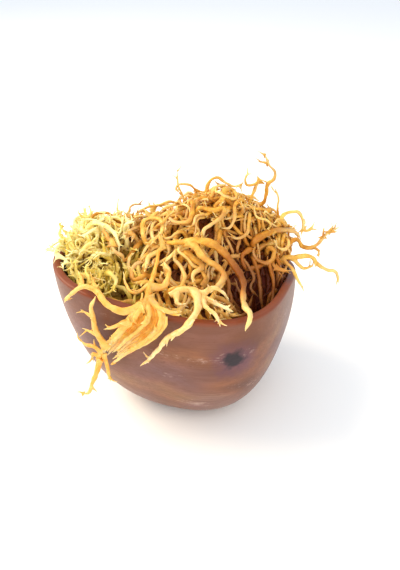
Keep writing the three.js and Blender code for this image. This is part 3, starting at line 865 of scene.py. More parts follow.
@dataclass
class Growth:
    """Grows strands one after another, each clear of the bowl, the cores and those before it."""

    bowl: BowlForm
    heap: HeapForm
    dice: Dice
    room: Room = MAIN_ROOM
    step: float = 5.4
    stated_step: float = 4
    spill: float = 1.02
    back_spill: float = 0.0
    back_from: float = -20
    max_turn: float = math.radians(62)
    pull: float = 0.62
    arrived: float = 0.8
    self_gap: float = 2.2
    newest_samples: int = 6
    root_depth: float = 4
    root_scatter: Span = (-26, 26)
    root_tries: int = 14
    root_margin: float = 3
    root_reach: float = 0.86
    heap_reach: float = 0.95
    sprig_splay: float = 14
    sprig_play: Span = (-0.6, 0.6)
    sprig_turns: tuple[float, ...] = (0, 1.6, 3.2, 4.8)
    sprig_reach: Span = (9, 15)
    leg_turns: tuple[float, ...] = (-1.1, -0.4, 0.4, 1.1)
    leg_play: Span = (-0.3, 0.3)
    curl_tilt: Span = (0.3, 1.2)
    curl_lift: float = 2
    fork_place: Span = (0.45, 0.9)
    fork_sideways: Span = (-0.8, 0.8)
    fork_upwards: Span = (-0.2, 0.9)
    fork_play: Span = (-3, 3)
    fork_thinner: float = 0.78
    root_radii: float = 2.5
    steep: float = 0.05
    far: float = 8
    gaps: tuple[Gap, ...] = ()
    places: np.ndarray = field(default_factory=lambda: np.zeros((0, 3)))
    reaches: np.ndarray = field(default_factory=lambda: np.zeros(0))
    owners: np.ndarray = field(default_factory=lambda: np.zeros(0, int))

    swerves = np.radians(
        [
            (0, 0), (24, 0), (24, 60), (24, -60), (46, 0), (46, 60), (46, -60), (46, 110),
            (46, -110), (70, 0), (70, 70), (70, -70), (46, 180),
        ]
    )

    def inside_share(self, bunch: Bunch, x: np.ndarray, y: np.ndarray) -> np.ndarray:
        """Measures how far inside a bunch's own share of the heap places are.

        Args:
            bunch: The bunch.
            x: How far east the places are.
            y: How far north they are.

        Returns:
            The distances to the nearest border, which are below nought outside the share.
        """
        if bunch.at is None:
            return np.full(np.shape(x), -np.inf)
        ax, ay = bunch.at
        least = np.full(np.shape(x), np.inf)
        for other in BUNCHES:
            if other is bunch:
                continue
            bx, by = other.at
            nearer = ((x - bx) ** 2 + (y - by) ** 2 - (x - ax) ** 2 - (y - ay) ** 2) / 2
            least = np.minimum(least, nearer / math.hypot(bx - ax, by - ay))
        return least

    def has_room(
        self, points: np.ndarray, reach: float, bunch: Bunch, start: np.ndarray, may_touch: bool = False
    ) -> np.ndarray:
        """Tells which of several points a strand could pass.

        Args:
            points: The points, in rows.
            reach: The strand's radius.
            bunch: The bunch that it belongs to.
            start: Its root, near which it may touch its own bunch.
            may_touch: Whether it may touch its own bunch anywhere.

        Returns:
            One truth value for each point.
        """
        room = self.room
        x, y, z = points.T
        clear = self.bowl.clearance(points) >= reach + room.bowl_gap
        for gap in self.gaps:
            clear &= ~gap.holds(points)
        over_core = z - self.heap.core(x, y) >= reach + room.core_gap
        own_share = self.inside_share(bunch, x, y) >= reach + room.strand_gap
        clear &= over_core | self.bowl.is_outside(points) | own_share
        low, high = points.min(axis=0) - self.far, points.max(axis=0) + self.far
        near = ((self.places > low) & (self.places < high)).all(axis=1)
        places, own = self.places[near], self.owners[near] == id(bunch)
        from_start = np.linalg.norm(places - start, axis=1)
        ignored = own & (may_touch | (from_start < self.root_radii * reach + self.step))
        apart = (reach + self.reaches[near] + np.where(own, 0, room.strand_gap)) * room.squeeze
        between = places[None, :, :] - points[:, None, :]
        square = np.einsum("ijk,ijk->ij", between, between)
        return clear & (ignored | (square > apart**2 + room.slip)).all(axis=1)

    def openest(self, candidates: list[np.ndarray]) -> int:
        """Finds which of several places is furthest from every strand laid so far.

        Args:
            candidates: The places.

        Returns:
            Its number in the list.
        """
        points = np.array(candidates)
        square = ((points[:, None, :] - self.places[None, :, :]) ** 2).sum(axis=2)
        return int(square.min(axis=1).argmax())

    def openest_on_heap(self, candidates: list[np.ndarray]) -> np.ndarray:
        """Finds the openest place among those that are over the heap, where there are any.

        Args:
            candidates: The places.

        Returns:
            The place.
        """
        inside = [c for c in candidates if self.bowl.mouth_share(c[0], c[1]) < self.heap_reach]
        chosen = inside or candidates
        return chosen[self.openest(chosen)]

    def headings(self, wanted: np.ndarray) -> np.ndarray:
        """Lists the headings that a strand tries in turn: straight on, then swerves, upwards first.

        Args:
            wanted: The heading straight on.

        Returns:
            The headings, in rows.
        """
        side = np.cross((0.0, 0.0, 1.0), wanted)
        if np.linalg.norm(side) < self.steep:
            side = np.array([1.0, 0.0, 0.0])
        side = unit(side)
        lift = np.cross(wanted, side)
        away, around = self.swerves.T[:, :, None]
        ways = wanted * np.cos(away) + lift * np.sin(away) * np.cos(around)
        ways = ways + side * np.sin(away) * np.sin(around)
        return ways / np.linalg.norm(ways, axis=1)[:, None]

    def grow(
        self,
        bunch: Bunch,
        radius: float,
        targets: list[np.ndarray],
        ceiling: float,
        least: int,
    ) -> np.ndarray:
        """Grows one chance strand past its targets, and stops it where nothing is clear.

        Args:
            bunch: The bunch that it belongs to.
            radius: Its radius.
            targets: Its root, and the points that it makes for.
            ceiling: How far over the heap it may climb.
            least: How many points it must have to be laid.

        Returns:
            The strand's points, in rows, or none where it isn't laid.
        """
        start = np.array(targets[0], float)
        path = [start]
        mine: list[np.ndarray] = []
        at = start
        facing = unit(np.array(targets[1], float) - start)
        for target in map(np.array, targets[1:]):
            distance = float(np.linalg.norm(target - at))
            for _ in range(math.ceil(distance / self.step) + 2):
                distance = float(np.linalg.norm(target - at))
                if distance <= self.step * self.arrived:
                    break
                wanted = unit(facing * (1 - self.pull) + unit(target - at) * self.pull)
                stride = min(self.step, distance)
                ways = self.headings(wanted)
                ends = at + ways * stride
                middles = at + ways * (stride / 2)
                turns = np.arccos(np.clip(ways @ facing, -1, 1))
                free = turns <= self.max_turn
                free &= ends[:, 2] <= self.heap.top(ends[:, 0], ends[:, 1]) + ceiling
                share = self.bowl.mouth_share(ends[:, 0], ends[:, 1])
                may_spill = (ends[:, 1] > self.back_from) | (bunch.sprigs > 0)
                free &= share <= self.spill + self.back_spill * may_spill
                older = mine[: -self.newest_samples]
                if older:
                    apart = np.linalg.norm(np.array(older)[None] - ends[:, None], axis=2)
                    free &= (apart > self.self_gap * radius).all(axis=1)
                both = np.concatenate([middles, ends])
                roomy = self.has_room(both, radius, bunch, start)
                free &= roomy[: len(ways)] & roomy[len(ways) :]
                if not free.any():
                    return self.lay(path, mine, bunch, radius, least)
                way = ways[int(free.argmax())]
                following = at + way * stride
                mine += [(at + following) / 2, following]
                path.append(following)
                at = following
                facing = way
        return self.lay(path, mine, bunch, radius, least)

    def lay(
        self,
        path: list[np.ndarray] | np.ndarray,
        samples: list[np.ndarray] | np.ndarray,
        bunch: Bunch,
        radius: float,
        least: int,
    ) -> np.ndarray:
        """Notes a strand's samples, so that later ones keep clear of them.

        Args:
            path: The strand's points.
            samples: The places along it that others keep clear of.
            bunch: The bunch that it belongs to.
            radius: Its radius.
            least: How many points it must have to be laid.

        Returns:
            The strand's points, in rows, or none where it isn't laid.
        """
        if len(path) < least:
            return np.zeros((0, 3))
        self.places = np.concatenate([self.places, samples])
        self.reaches = np.concatenate([self.reaches, np.full(len(samples), radius)])
        self.owners = np.concatenate([self.owners, np.full(len(samples), id(bunch))])
        return np.array(path)

    def stated(
        self, bunch: Bunch, route: Route, root: np.ndarray | None = None, parent: Strand | None = None
    ) -> list[Strand]:
        """Lays a stated strand smoothly through its points, with its forks, as far as it has room.

        Args:
            bunch: The bunch that it belongs to.
            route: Its radius, points and forks.
            root: Where a fork leaves its parent.
            parent: The strand that a fork leaves.

        Returns:
            The strand and all its forks, or nothing where it has no room.
        """
        points = np.array(route.via if root is None else [root, *route.via], float)
        places = smooth_line(points, self.stated_step, splits=2)
        blocked = ~self.has_room(places[1:], route.radius, bunch, points[0], may_touch=True)
        clear = places[: 1 + int(blocked.argmax())] if blocked.any() else places
        path = self.lay(clear[::2], clear[1:], bunch, route.radius, least=2)
        if len(path) == 0:
            return []
        look = (route.broad, route.taper, parent, route.root, route.edge)
        strands = [Strand(clear, route.radius, *look)]
        for fork in route.forks:
            place = path[math.floor(fork.at * (len(path) - 1) + 0.5)]
            strands += self.stated(bunch, fork, place, strands[0])
        return strands

    def over_heap(self, x: float, y: float, above: float) -> np.ndarray:
        """A point some way above the heap's top."""
        return np.array([x, y, self.heap.top(x, y) + above])

    def root_in(self, bunch: Bunch) -> tuple[float, float]:
        """Finds an open place in a bunch's share of the heap, for a root.

        Args:
            bunch: The bunch.

        Returns:
            How far east and north it is.
        """
        x, y = bunch.at
        candidates = [self.over_heap(x, y, 0)]
        for _ in range(self.root_tries):
            east = x + self.dice.within(self.root_scatter)
            north = y + self.dice.within(self.root_scatter)
            if self.bowl.mouth_share(east, north) >= self.root_reach:
                continue
            if self.inside_share(bunch, east, north) > self.root_margin:
                candidates.append(self.over_heap(east, north, 0))
        chosen = candidates[self.openest(candidates)]
        return float(chosen[0]), float(chosen[1])

    def curl_points(self, x: float, y: float, bearing: float, curl: Span) -> list[np.ndarray]:
        """Points round most of a circle, which starts along a bearing and leans up.

        Args:
            x: How far east it starts.
            y: How far north it starts.
            bearing: The way that it starts off.
            curl: What its radius is drawn from.

        Returns:
            Its points.
        """
        radius = self.dice.within(curl)
        turn = 1 if self.dice.next() < 0.5 else -1
        tilt = self.dice.within(self.curl_tilt)
        points = []
        for sixth in range(1, 6):
            around = sixth * math.pi / 3
            ahead = radius * math.sin(around)
            across = radius * (1 - math.cos(around))
            aside = across * turn * math.cos(tilt)
            east = x + ahead * math.cos(bearing) - aside * math.sin(bearing)
            north = y + ahead * math.sin(bearing) + aside * math.cos(bearing)
            height = self.heap.top(x, y) + self.curl_lift + across * math.sin(tilt)
            points.append(np.array([east, north, height]))
        return points

    def curly_targets(self, bunch: Bunch, manner: Manner) -> list[np.ndarray]:
        """Draws the points past which a chance strand wanders over the heap, from its root.

        Args:
            bunch: The bunch that it belongs to.
            manner: How it grows.

        Returns:
            Its points.
        """
        dice = self.dice
        x, y = self.root_in(bunch)
        bearing = dice.within((0, 2 * math.pi))
        step = bearing_vector(bearing, self.root_margin)
        start = np.array([x, y, self.heap.core(x, y) - self.root_depth])
        targets = [start, self.over_heap(x + step[0], y + step[1], -self.root_depth)]
        legs = math.floor(dice.within(manner.legs))
        curled = manner.curled_legs if dice.next() < manner.curled_share else ()
        for leg in range(legs):
            stride = dice.within(manner.leg)
            ahead = bearing_vector(bearing, stride)
            shift_x, shift_y = self.bowl.rim_shift
            strays = self.bowl.mouth_share(x + ahead[0], y + ahead[1]) > self.heap_reach
            onward = math.atan2(shift_y - y, shift_x - x) if strays else bearing
            ways = {}
            for turn in self.leg_turns:
                way = onward + turn + dice.within(self.leg_play)
                aim = bearing_vector(way, stride)
                place = self.over_heap(x + aim[0], y + aim[1], dice.within(manner.rise))
                ways[way] = place
            chosen = self.openest_on_heap(list(ways.values()))
            bearing = next(way for way, place in ways.items() if place is chosen)
            x, y = float(chosen[0]), float(chosen[1])
            targets.append(chosen)
            if leg in curled:
                targets += self.curl_points(x, y, bearing, manner.curl)
        targets[-1] = targets[-1] + (0, 0, dice.within(manner.tip_rise))
        return targets

    def sprig_targets(self, bunch: Bunch, manner: Manner) -> list[np.ndarray]:
        """Draws the points of a short branchlet, which stands out from its tuft's middle.

        Args:
            bunch: The tuft that it belongs to.
            manner: How it grows.

        Returns:
            Its points.
        """
        dice = self.dice
        x, y = self.root_in(bunch)
        way = np.array([(x - bunch.at[0]) / self.sprig_splay, (y - bunch.at[1]) / self.sprig_splay, 1])
        way[0] += dice.within(self.sprig_play)
        way[1] += dice.within(self.sprig_play)
        start = np.array([x, y, self.heap.core(x, y) - self.root_depth])
        knee = start + unit(way) * self.heap.strand_layer
        bearing = dice.within((0, 2 * math.pi))
        candidates = []
        for turn in self.sprig_turns:
            step = bearing_vector(bearing + turn, dice.within(self.sprig_reach))
            candidates.append(knee + step + (0, 0, dice.within(manner.tip_rise)))
        return [start, knee, self.openest_on_heap(candidates)]

    def fork(self, bunch: Bunch, parent: Strand, manner: Manner) -> list[Strand]:
        """Grows a chance fork, which goes half its reach one way and then strays a little.

        Args:
            bunch: The bunch that it belongs to.
            parent: The strand that it leaves.
            manner: How it grows.

        Returns:
            The fork, or nothing where it finds no room.
        """
        dice = self.dice
        reach = dice.within(manner.fork)
        along = max(1, math.floor(len(parent.path) * dice.within(self.fork_place)))
        place = parent.path[along]
        way = unit(place - parent.path[along - 1])
        way += [dice.within(s) for s in (self.fork_sideways, self.fork_sideways, self.fork_upwards)]
        half = unit(way) * (reach / 2)
        play = np.array([dice.within(self.fork_play) for _ in range(3)])
        targets = [place, place + half, place + half * 2 + play]
        radius = parent.radius * self.fork_thinner
        path = self.grow(bunch, radius, targets, manner.ceiling, manner.least_fork)
        return [Strand(path, radius, taper=manner.taper, parent=parent)] if len(path) else []

    def chance(self, bunch: Bunch, manner: Manner, is_sprig: bool) -> list[Strand]:
        """Grows one chance strand and its fork.

        Args:
            bunch: The bunch that they belong to.
            manner: How they grow.
            is_sprig: Whether it is a short branchlet instead of a curly strand.

        Returns:
            The strand and its fork, those of them that found room.
        """
        find_targets = self.sprig_targets if is_sprig else self.curly_targets
        targets = find_targets(bunch, manner)
        radius = self.dice.within(manner.radius)
        path = self.grow(bunch, radius, targets, manner.ceiling, manner.least)
        if len(path) == 0:
            return []
        strand = Strand(path, radius, taper=manner.taper)
        return [strand, *self.fork(bunch, strand, manner)]


def grow_moss(growth: Growth) -> dict[Bunch, list[Strand]]:
    """Grows the heap: the stated strands, then chance ones, one for each bunch in turn.

    Args:
        growth: The rules, the chance source and the strands laid so far.

    Returns:
        Each bunch's strands.
    """
    grown: dict[Bunch, list[Strand]] = {}
    for bunch in (*FRONDS, *BUNCHES):
        grown[bunch] = [s for route in bunch.routes for s in growth.stated(bunch, route)]
    for turn in range(max(max(b.curly, b.sprigs) for b in BUNCHES)):
        for bunch in BUNCHES:
            if turn < bunch.curly:
                grown[bunch] += growth.chance(bunch, CURLY, is_sprig=False)
            if turn < bunch.sprigs:
                grown[bunch] += growth.chance(bunch, SPRIG, is_sprig=True)
    return grown


def fill_moss(growth: Growth, grown: dict[Bunch, list[Strand]]) -> None:
    """Fills the layer between the cores and the main strands with finer ones.

    Args:
        growth: The growth that laid the main strands.
        grown: Each bunch's strands, which the finer ones join.
    """
    growth.room = FILL_ROOM
    growth.step = FILL_STEP
    growth.gaps = GAPS
    growth.back_spill = FILL_BACK_SPILL
    growth.root_reach = FILL_ROOT_REACH
    for turn in range(max(max(b.fill_curly, b.fill_sprigs) for b in BUNCHES)):
        for bunch in BUNCHES:
            if turn < bunch.fill_curly:
                grown[bunch] += growth.chance(bunch, FILL_CURLY, is_sprig=False)
            if turn < bunch.fill_sprigs:
                grown[bunch] += growth.chance(bunch, FILL_SPRIG, is_sprig=True)


@dataclass
class Trimmings:
    """The small growth that covers the rest: spurs on the strands, and a mat over the cores."""

    growth: Growth
    spur_length: Span = (2.2, 6)
    spur_spacing: float = 24
    spur_radius: Span = (0.36, 0.55)
    spur_room: float = 0.7
    spur_place: Span = (0.25, 0.98)
    spur_turn: Span = (0.6, 1.3)
    twig_count: Span = (0.2, 2.2)
    twig_place: Span = (0.35, 0.85)
    twig_turn: Span = (0.5, 1.1)
    twig_share: Span = (0.35, 0.6)
    twig_thinner: float = 0.8
    bend: Span = (-0.6, 0.6)
    offshoot_taper: float = 0.4
    tuft_fineness: float = 0.72
    prong_count: Span = (0.7, 2.9)
    prong_back: Span = (1, 6)
    prong_length: Span = (2.5, 6.5)
    prong_turn: Span = (0.45, 1.05)
    prong_radius: Span = (0.55, 0.8)
    prong_least: float = 0.3
    blade_start: float = 0.34
    blade_shoulder: float = 8
    rib_count: int = 26
    rib_points: int = 14
    rib_first: Span = (0, 3.9)
    rib_last: Span = (0, 4.9)
    rib_radius: Span = (0.4, 0.8)
    rib_broad: float = 1.8
    rib_taper: float = 0.35
    rib_root: float = 0.7
    rib_place: Span = (0.2, 0.8)
    rib_contrast: float = 1.6
    rib_tint: Span = (-0.1, 0.5)
    shoulder_point: int = 3
    mat_radius: Span = (1.1, 1.9)
    mat_step: float = 4.2
    mat_points: Span = (4, 9)
    mat_depth: Span = (-1.6, 1.4)
    mat_turn: Span = (-0.95, 0.95)
    mat_per_area: float = 0.075
    mat_reach: float = 0.96
    mat_room: float = 0.3
    mat_sway: Span = (-1.2, 1.2)
    mat_depth_limit: float = 2
    mat_twist: Span = (-9, 9)
    core_below_rim: float = 7
    core_slope_share: float = 0.3

    def offshoot(self, parent: Strand, run: float, turn: float, length: float, radius: float) -> list[Strand]:
        """Makes a short curved offshoot of a strand.

        Args:
            parent: The strand that it leaves.
            run: How far along the strand it leaves.
            turn: The angle that it leaves at.
            length: Its length.
            radius: Its radius.

        Returns:
            The offshoot, or nothing where it would touch the bowl.
        """
        dice = self.growth.dice
        runs = lengths_along(parent.path)
        span = min(int(np.searchsorted(runs, run, side="right")), len(runs) - 1)
        first, second = parent.path[span - 1], parent.path[span]
        along = unit(second - first)
        root = first + along * (run - runs[span - 1])
        aside = unit(np.cross(along, [dice.within((-1, 1)) for _ in range(3)]))
        way = along * math.cos(turn) + aside * math.sin(turn)
        bend = np.array([dice.within(self.bend) for _ in range(3)])
        knee = root + way * length / 2
        tip = knee + unit(way + bend) * length / 2
        path = np.array([root, knee, tip])
        if (self.growth.bowl.clearance(path[1:]) <= self.spur_room).any():
            return []
        return [Strand(path, radius, taper=self.offshoot_taper, parent=parent)]

    def spurs(self, bunch: Bunch, strand: Strand) -> list[Strand]:
        """Grows a strand's spurs, which lean towards its tip, and the twigs on a tuft's spurs.

        Args:
            bunch: The bunch that it belongs to.
            strand: The strand that bears them.

        Returns:
            The spurs that keep clear of the bowl.
        """
        dice = self.growth.dice
        whole = lengths_along(strand.path)[-1]
        spurs = []
        for _ in range(math.floor(bunch.spurs * whole / self.spur_spacing + dice.next())):
            run, turn = whole * dice.within(self.spur_place), dice.within(self.spur_turn)
            length, radius = dice.within(self.spur_length), strand.radius * dice.within(self.spur_radius)
            fineness = self.tuft_fineness if bunch.sprigs else 1
            spurs += self.offshoot(strand, run, turn, length, radius * fineness)
        for spur in list(spurs):
            reach = lengths_along(spur.path)[-1]
            for _ in range(math.floor(dice.within(self.twig_count)) if bunch.sprigs else 0):
                run, turn = reach * dice.within(self.twig_place), dice.within(self.twig_turn)
                length, radius = reach * dice.within(self.twig_share), spur.radius * self.twig_thinner
                spurs += self.offshoot(spur, run, turn, length, radius)
        return spurs

    def prongs(self, strand: Strand) -> list[Strand]:
        """Splits a strand's tip into pointed prongs.

        Args:
            strand: The strand.

        Returns:
            Its prongs.
        """
        dice = self.growth.dice
        whole = lengths_along(strand.path)[-1]
        prongs = []
        for _ in range(math.floor(dice.within(self.prong_count))):
            run, turn = whole - dice.within(self.prong_back), dice.within(self.prong_turn)
            length = dice.within(self.prong_length)
            radius = strand.radius * (1 - strand.taper) * dice.within(self.prong_radius)
            prongs += self.offshoot(strand, max(run, self.prong_least * whole), turn, length, radius)
        return prongs

    def blade(self, strands: list[Strand]) -> list[Strand]:
        """Lays close ribs between a frond's broad strands, which join them into a slit blade.

        Args:
            strands: The frond's strands.

        Returns:
            The ribs.
        """
        dice = self.growth.dice
        edges = [strand for strand in strands if strand.edge]
        if len(edges) < 2:
            return []
        shares = np.linspace(0, 1, self.rib_points)
        laid = []
        for edge in edges:
            start = self.blade_start if edge.parent is None else 0.0
            run = lengths_along(edge.path)
            wanted = run[-1] * (start + (1 - start) * shares)
            laid.append(np.stack([np.interp(wanted, run, axis) for axis in edge.path.T], axis=1))
        aside = unit(laid[-1][self.shoulder_point] - laid[0][self.shoulder_point]) * self.blade_shoulder
        ribs = []
        for rib in range(self.rib_count):
            share = min((rib + dice.within(self.rib_place)) / self.rib_count, 0.999)
            across = share * (len(edges) - 1)
            side = int(across)
            path = laid[side] + (laid[side + 1] - laid[side]) * (across - side)
            path = path + np.outer(1 - shares, aside) * (share - 0.5)
            first = math.floor(dice.within(self.rib_first))
            path = path[first : self.rib_points - math.floor(dice.within(self.rib_last))]
            tint = 1 - self.rib_contrast * math.sin(math.pi * share) + dice.within(self.rib_tint)
            rib_look = (dice.within(self.rib_radius), self.rib_broad, self.rib_taper)
            ribs.append(Strand(path, *rib_look, root=self.rib_root, tint=min(max(tint, 0), 1)))
        return ribs

    def mat(self, bunch: Bunch) -> list[Strand]:
        """Lays short strands, half sunk, over one bunch's core.

        Args:
            bunch: The bunch whose share of the heap is covered.

        Returns:
            The strands of the mat.
        """
        growth, dice = self.growth, self.growth.dice
        half = growth.bowl.half_width
        tries = round(self.mat_per_area * (2 * half) ** 2)
        strands = []
        for _ in range(tries):
            x = growth.bowl.rim_shift[0] + dice.within((-half, half))
            y = growth.bowl.rim_shift[1] + dice.within((-half, half))
            bearing = dice.within((0, 2 * math.pi))
            wanted = math.floor(dice.within(self.mat_points))
            depth, radius = dice.within(self.mat_depth), dice.within(self.mat_radius)
            if growth.inside_share(bunch, x, y) < 0 or growth.bowl.mouth_share(x, y) > self.mat_reach:
                continue
            path = []
            for _ in range(wanted):
                path.append(np.array([x, y, self.core_height(x, y) + depth]))
                bearing += dice.within(self.mat_turn)
                ahead = bearing_vector(bearing, self.mat_step)
                if growth.bowl.mouth_share(x + ahead[0], y + ahead[1]) > self.mat_reach:
                    bearing += math.pi / 2
                    continue
                x, y = x + ahead[0], y + ahead[1]
                depth += dice.within(self.mat_sway)
                depth = min(max(depth, -self.mat_depth_limit), self.mat_depth_limit)
            kept = np.array([p for p, q in zip(path, path[1:]) if not np.allclose(p[:2], q[:2])])
            if len(kept) < 2 or (growth.bowl.clearance(kept) < self.mat_room).any():
                continue
            strands.append(Strand(kept, radius, buried=True, twist=dice.within(self.mat_twist)))
        return strands

    def core_height(self, x: float, y: float) -> float:
        """Finds the height of the cores' top at a place, which sinks at the bowl's low rim.

        Args:
            x: How far east the place is.
            y: How far north it is.

        Returns:
            The height.
        """
        east, north = x - self.growth.bowl.rim_shift[0], y - self.growth.bowl.rim_shift[1]
        rim = float(self.growth.bowl.rim(np.array(math.atan2(north, east))))
        share = self.growth.bowl.mouth_share(x, y)
        edge = min(float(self.growth.heap.core(x, y)), rim - self.core_below_rim)
        inward = min(1.0, (1 - share) / self.core_slope_share)
        return edge + (float(self.growth.heap.core(x, y)) - edge) * inward


def add_node(
    tree: Tree,
    kind: str,
    inputs: dict[str | int, object] | None = None,
    **settings: object,
) -> bpy.types.Node:
    """Adds a node with its settings and links.

    Args:
        tree: The tree that it goes into.
        kind: Its type.
        inputs: What its inputs take: values, or other nodes' outputs.
        settings: Its own options. stops gives a colour ramp's places and hex colours.

    Returns:
        The node.
    """
    node = tree.nodes.new(kind)
    for i, (place, colour) in enumerate(settings.pop("stops", ())):
        elements = node.color_ramp.elements
        element = elements[i] if i < 2 else elements.new(place)
        element.position = place
        element.color = linear(colour)
    for name, value in settings.items():
        setattr(node, name, value)
    for name, value in (inputs or {}).items():
        socket = node.inputs[name]
        if isinstance(value, bpy.types.NodeSocket):
            tree.links.new(value, socket)
        else:
            socket.default_value = value
    return node


@dataclass
class TubeTree:
    """The node tree that turns lines of growth into round, slightly knobbly strands."""

    name: str = "strands along their lines"
    sizes: tuple[str, ...] = (
        "Groove", "Spacing", "Wander", "Wander Size", "Kink", "Kink Size", "Ripple", "Ripple Size",
        "Lumps", "Lump Size",
    )
    swell_span: Span = (0.3, 0.7)

    def __post_init__(self) -> None:
        """Starts the tree, with named inputs for its sizes in metres."""
        self.tree = bpy.data.node_groups.new(self.name, "GeometryNodeTree")
        sockets = self.tree.interface
        sockets.new_socket("Lines", in_out="INPUT", socket_type="NodeSocketGeometry")
        sockets.new_socket("Ribs", in_out="INPUT", socket_type="NodeSocketInt")
        for size in self.sizes:
            sockets.new_socket(size, in_out="INPUT", socket_type="NodeSocketFloat")
        sockets.new_socket("Finish", in_out="INPUT", socket_type="NodeSocketMaterial")
        sockets.new_socket("Strands", in_out="OUTPUT", socket_type="NodeSocketGeometry")
        self.given = add_node(self.tree, "NodeGroupInput").outputs
        self.place = add_node(self.tree, "GeometryNodeInputPosition").outputs[0]
        self.tint = add_node(
            self.tree, "GeometryNodeInputNamedAttribute", {"Name": "tint"}, data_type="FLOAT"
        ).outputs[0]

    def build(self) -> Tree:
        """Builds the tree.

        Returns:
            The tree.
        """
        tree, given = self.tree, self.given
        held = self.strayed_curves()
        ring = add_node(
            tree,
            "GeometryNodeCurveStar",
            {"Points": given["Ribs"], "Inner Radius": given["Groove"], "Outer Radius": 1.0},
        )
        tubes = add_node(
            tree,
            "GeometryNodeCurveToMesh",
            {
                "Curve": held.outputs[0],
                "Profile Curve": ring.outputs[0],
                "Scale": self.radius(),
                "Fill Caps": True,
            },
        )
        section = self.section(held.outputs["Centre"])
        shaped = add_node(
            tree, "GeometryNodeSetPosition", {"Geometry": tubes.outputs[0], "Position": section}
        )
        knobbly = add_node(
            tree, "GeometryNodeSetPosition", {"Geometry": shaped.outputs[0], "Offset": self.knobbles()}
        )
        smooth = add_node(
            tree, "GeometryNodeSetShadeSmooth", {"Geometry": knobbly.outputs[0], "Shade Smooth": True}
        )
        real = add_node(tree, "GeometryNodeRealizeInstances", {"Geometry": smooth.outputs[0]})
        dressed = add_node(
            tree, "GeometryNodeSetMaterial", {"Geometry": real.outputs[0], "Material": given["Finish"]}
        )
        add_node(tree, "NodeGroupOutput", {0: dressed.outputs[0]})
        return tree

    def noise(self, size: str) -> bpy.types.Node:
        """Adds a noise that differs from one strand to the next.

        Args:
            size: The input that gives the size of its features.

        Returns:
            The noise node.
        """
        scale = add_node(self.tree, "ShaderNodeMath", {0: 1.0, 1: self.given[size]}, operation="DIVIDE")
        return add_node(
            self.tree,
            "ShaderNodeTexNoise",
            {"Vector": self.place, "W": self.tint, "Scale": scale.outputs[0], "Detail": 1.0},
            noise_dimensions="4D",
        )

    def drift(self, reach: str, size: str) -> Socket:
        """Makes the way that the strands stray at one scale.

        Args:
            reach: The input that gives how far they stray.
            size: The input that gives how long their bends are.

        Returns:
            The output that gives the way.
        """
        centred = add_node(
            self.tree,
            "ShaderNodeVectorMath",
            {0: self.noise(size).outputs["Color"], 1: (0.5, 0.5, 0.5)},
            operation="SUBTRACT",
        )
        doubled = add_node(self.tree, "ShaderNodeMath", {0: self.given[reach], 1: 2.0}, operation="MULTIPLY")
        return add_node(
            self.tree,
            "ShaderNodeVectorMath",
            {0: centred.outputs[0], "Scale": doubled.outputs[0]},
            operation="SCALE",
        ).outputs[0]

    def strayed_curves(self) -> bpy.types.Node:
        """Turns the lines into even curves that stray a little, and holds their centre line.

        Returns:
            The node that gives the curves and their centre line.
        """
        tree = self.tree
        lines = add_node(tree, "GeometryNodeMeshToCurve", {"Mesh": self.given["Lines"]})
        curves = add_node(
            tree, "GeometryNodeCurveSplineType", {"Curve": lines.outputs[0]}, spline_type="CATMULL_ROM"
        )
        even = add_node(
            tree,
            "GeometryNodeResampleCurve",
            {"Curve": curves.outputs[0], "Length": self.given["Spacing"]},
            mode="LENGTH",
        )
        drifts = {0: self.drift("Wander", "Wander Size"), 1: self.drift("Kink", "Kink Size")}
        shift = add_node(tree, "ShaderNodeVectorMath", drifts, operation="ADD")
        strayed = add_node(
            tree, "GeometryNodeSetPosition", {"Geometry": even.outputs[0], "Offset": shift.outputs[0]}
        )
        held = add_node(tree, "GeometryNodeCaptureAttribute", {"Geometry": strayed.outputs[0]})
        held.capture_items.new("VECTOR", "Centre")
        tree.links.new(self.place, held.inputs["Centre"])
        return held

    def radius(self) -> Socket:
        """Makes the strands' radius, which swells and shrinks a little along them.

        Returns:
            The output that gives it.
        """
        tree, ripple = self.tree, self.given["Ripple"]
        thickness = add_node(
            tree, "GeometryNodeInputNamedAttribute", {"Name": "thickness"}, data_type="FLOAT"
        )
        low = add_node(tree, "ShaderNodeMath", {0: 1.0, 1: ripple}, operation="SUBTRACT")
        high = add_node(tree, "ShaderNodeMath", {0: 1.0, 1: ripple}, operation="ADD")
        swell = add_node(
            tree,
            "ShaderNodeMapRange",
            {
                "Value": self.noise("Ripple Size").outputs["Fac"],
                "From Min": self.swell_span[0],
                "From Max": self.swell_span[1],
                "To Min": low.outputs[0],
                "To Max": high.outputs[0],
            },
        )
        return add_node(
            tree, "ShaderNodeMath", {0: thickness.outputs[0], 1: swell.outputs[0]}, operation="MULTIPLY"
        ).outputs[0]

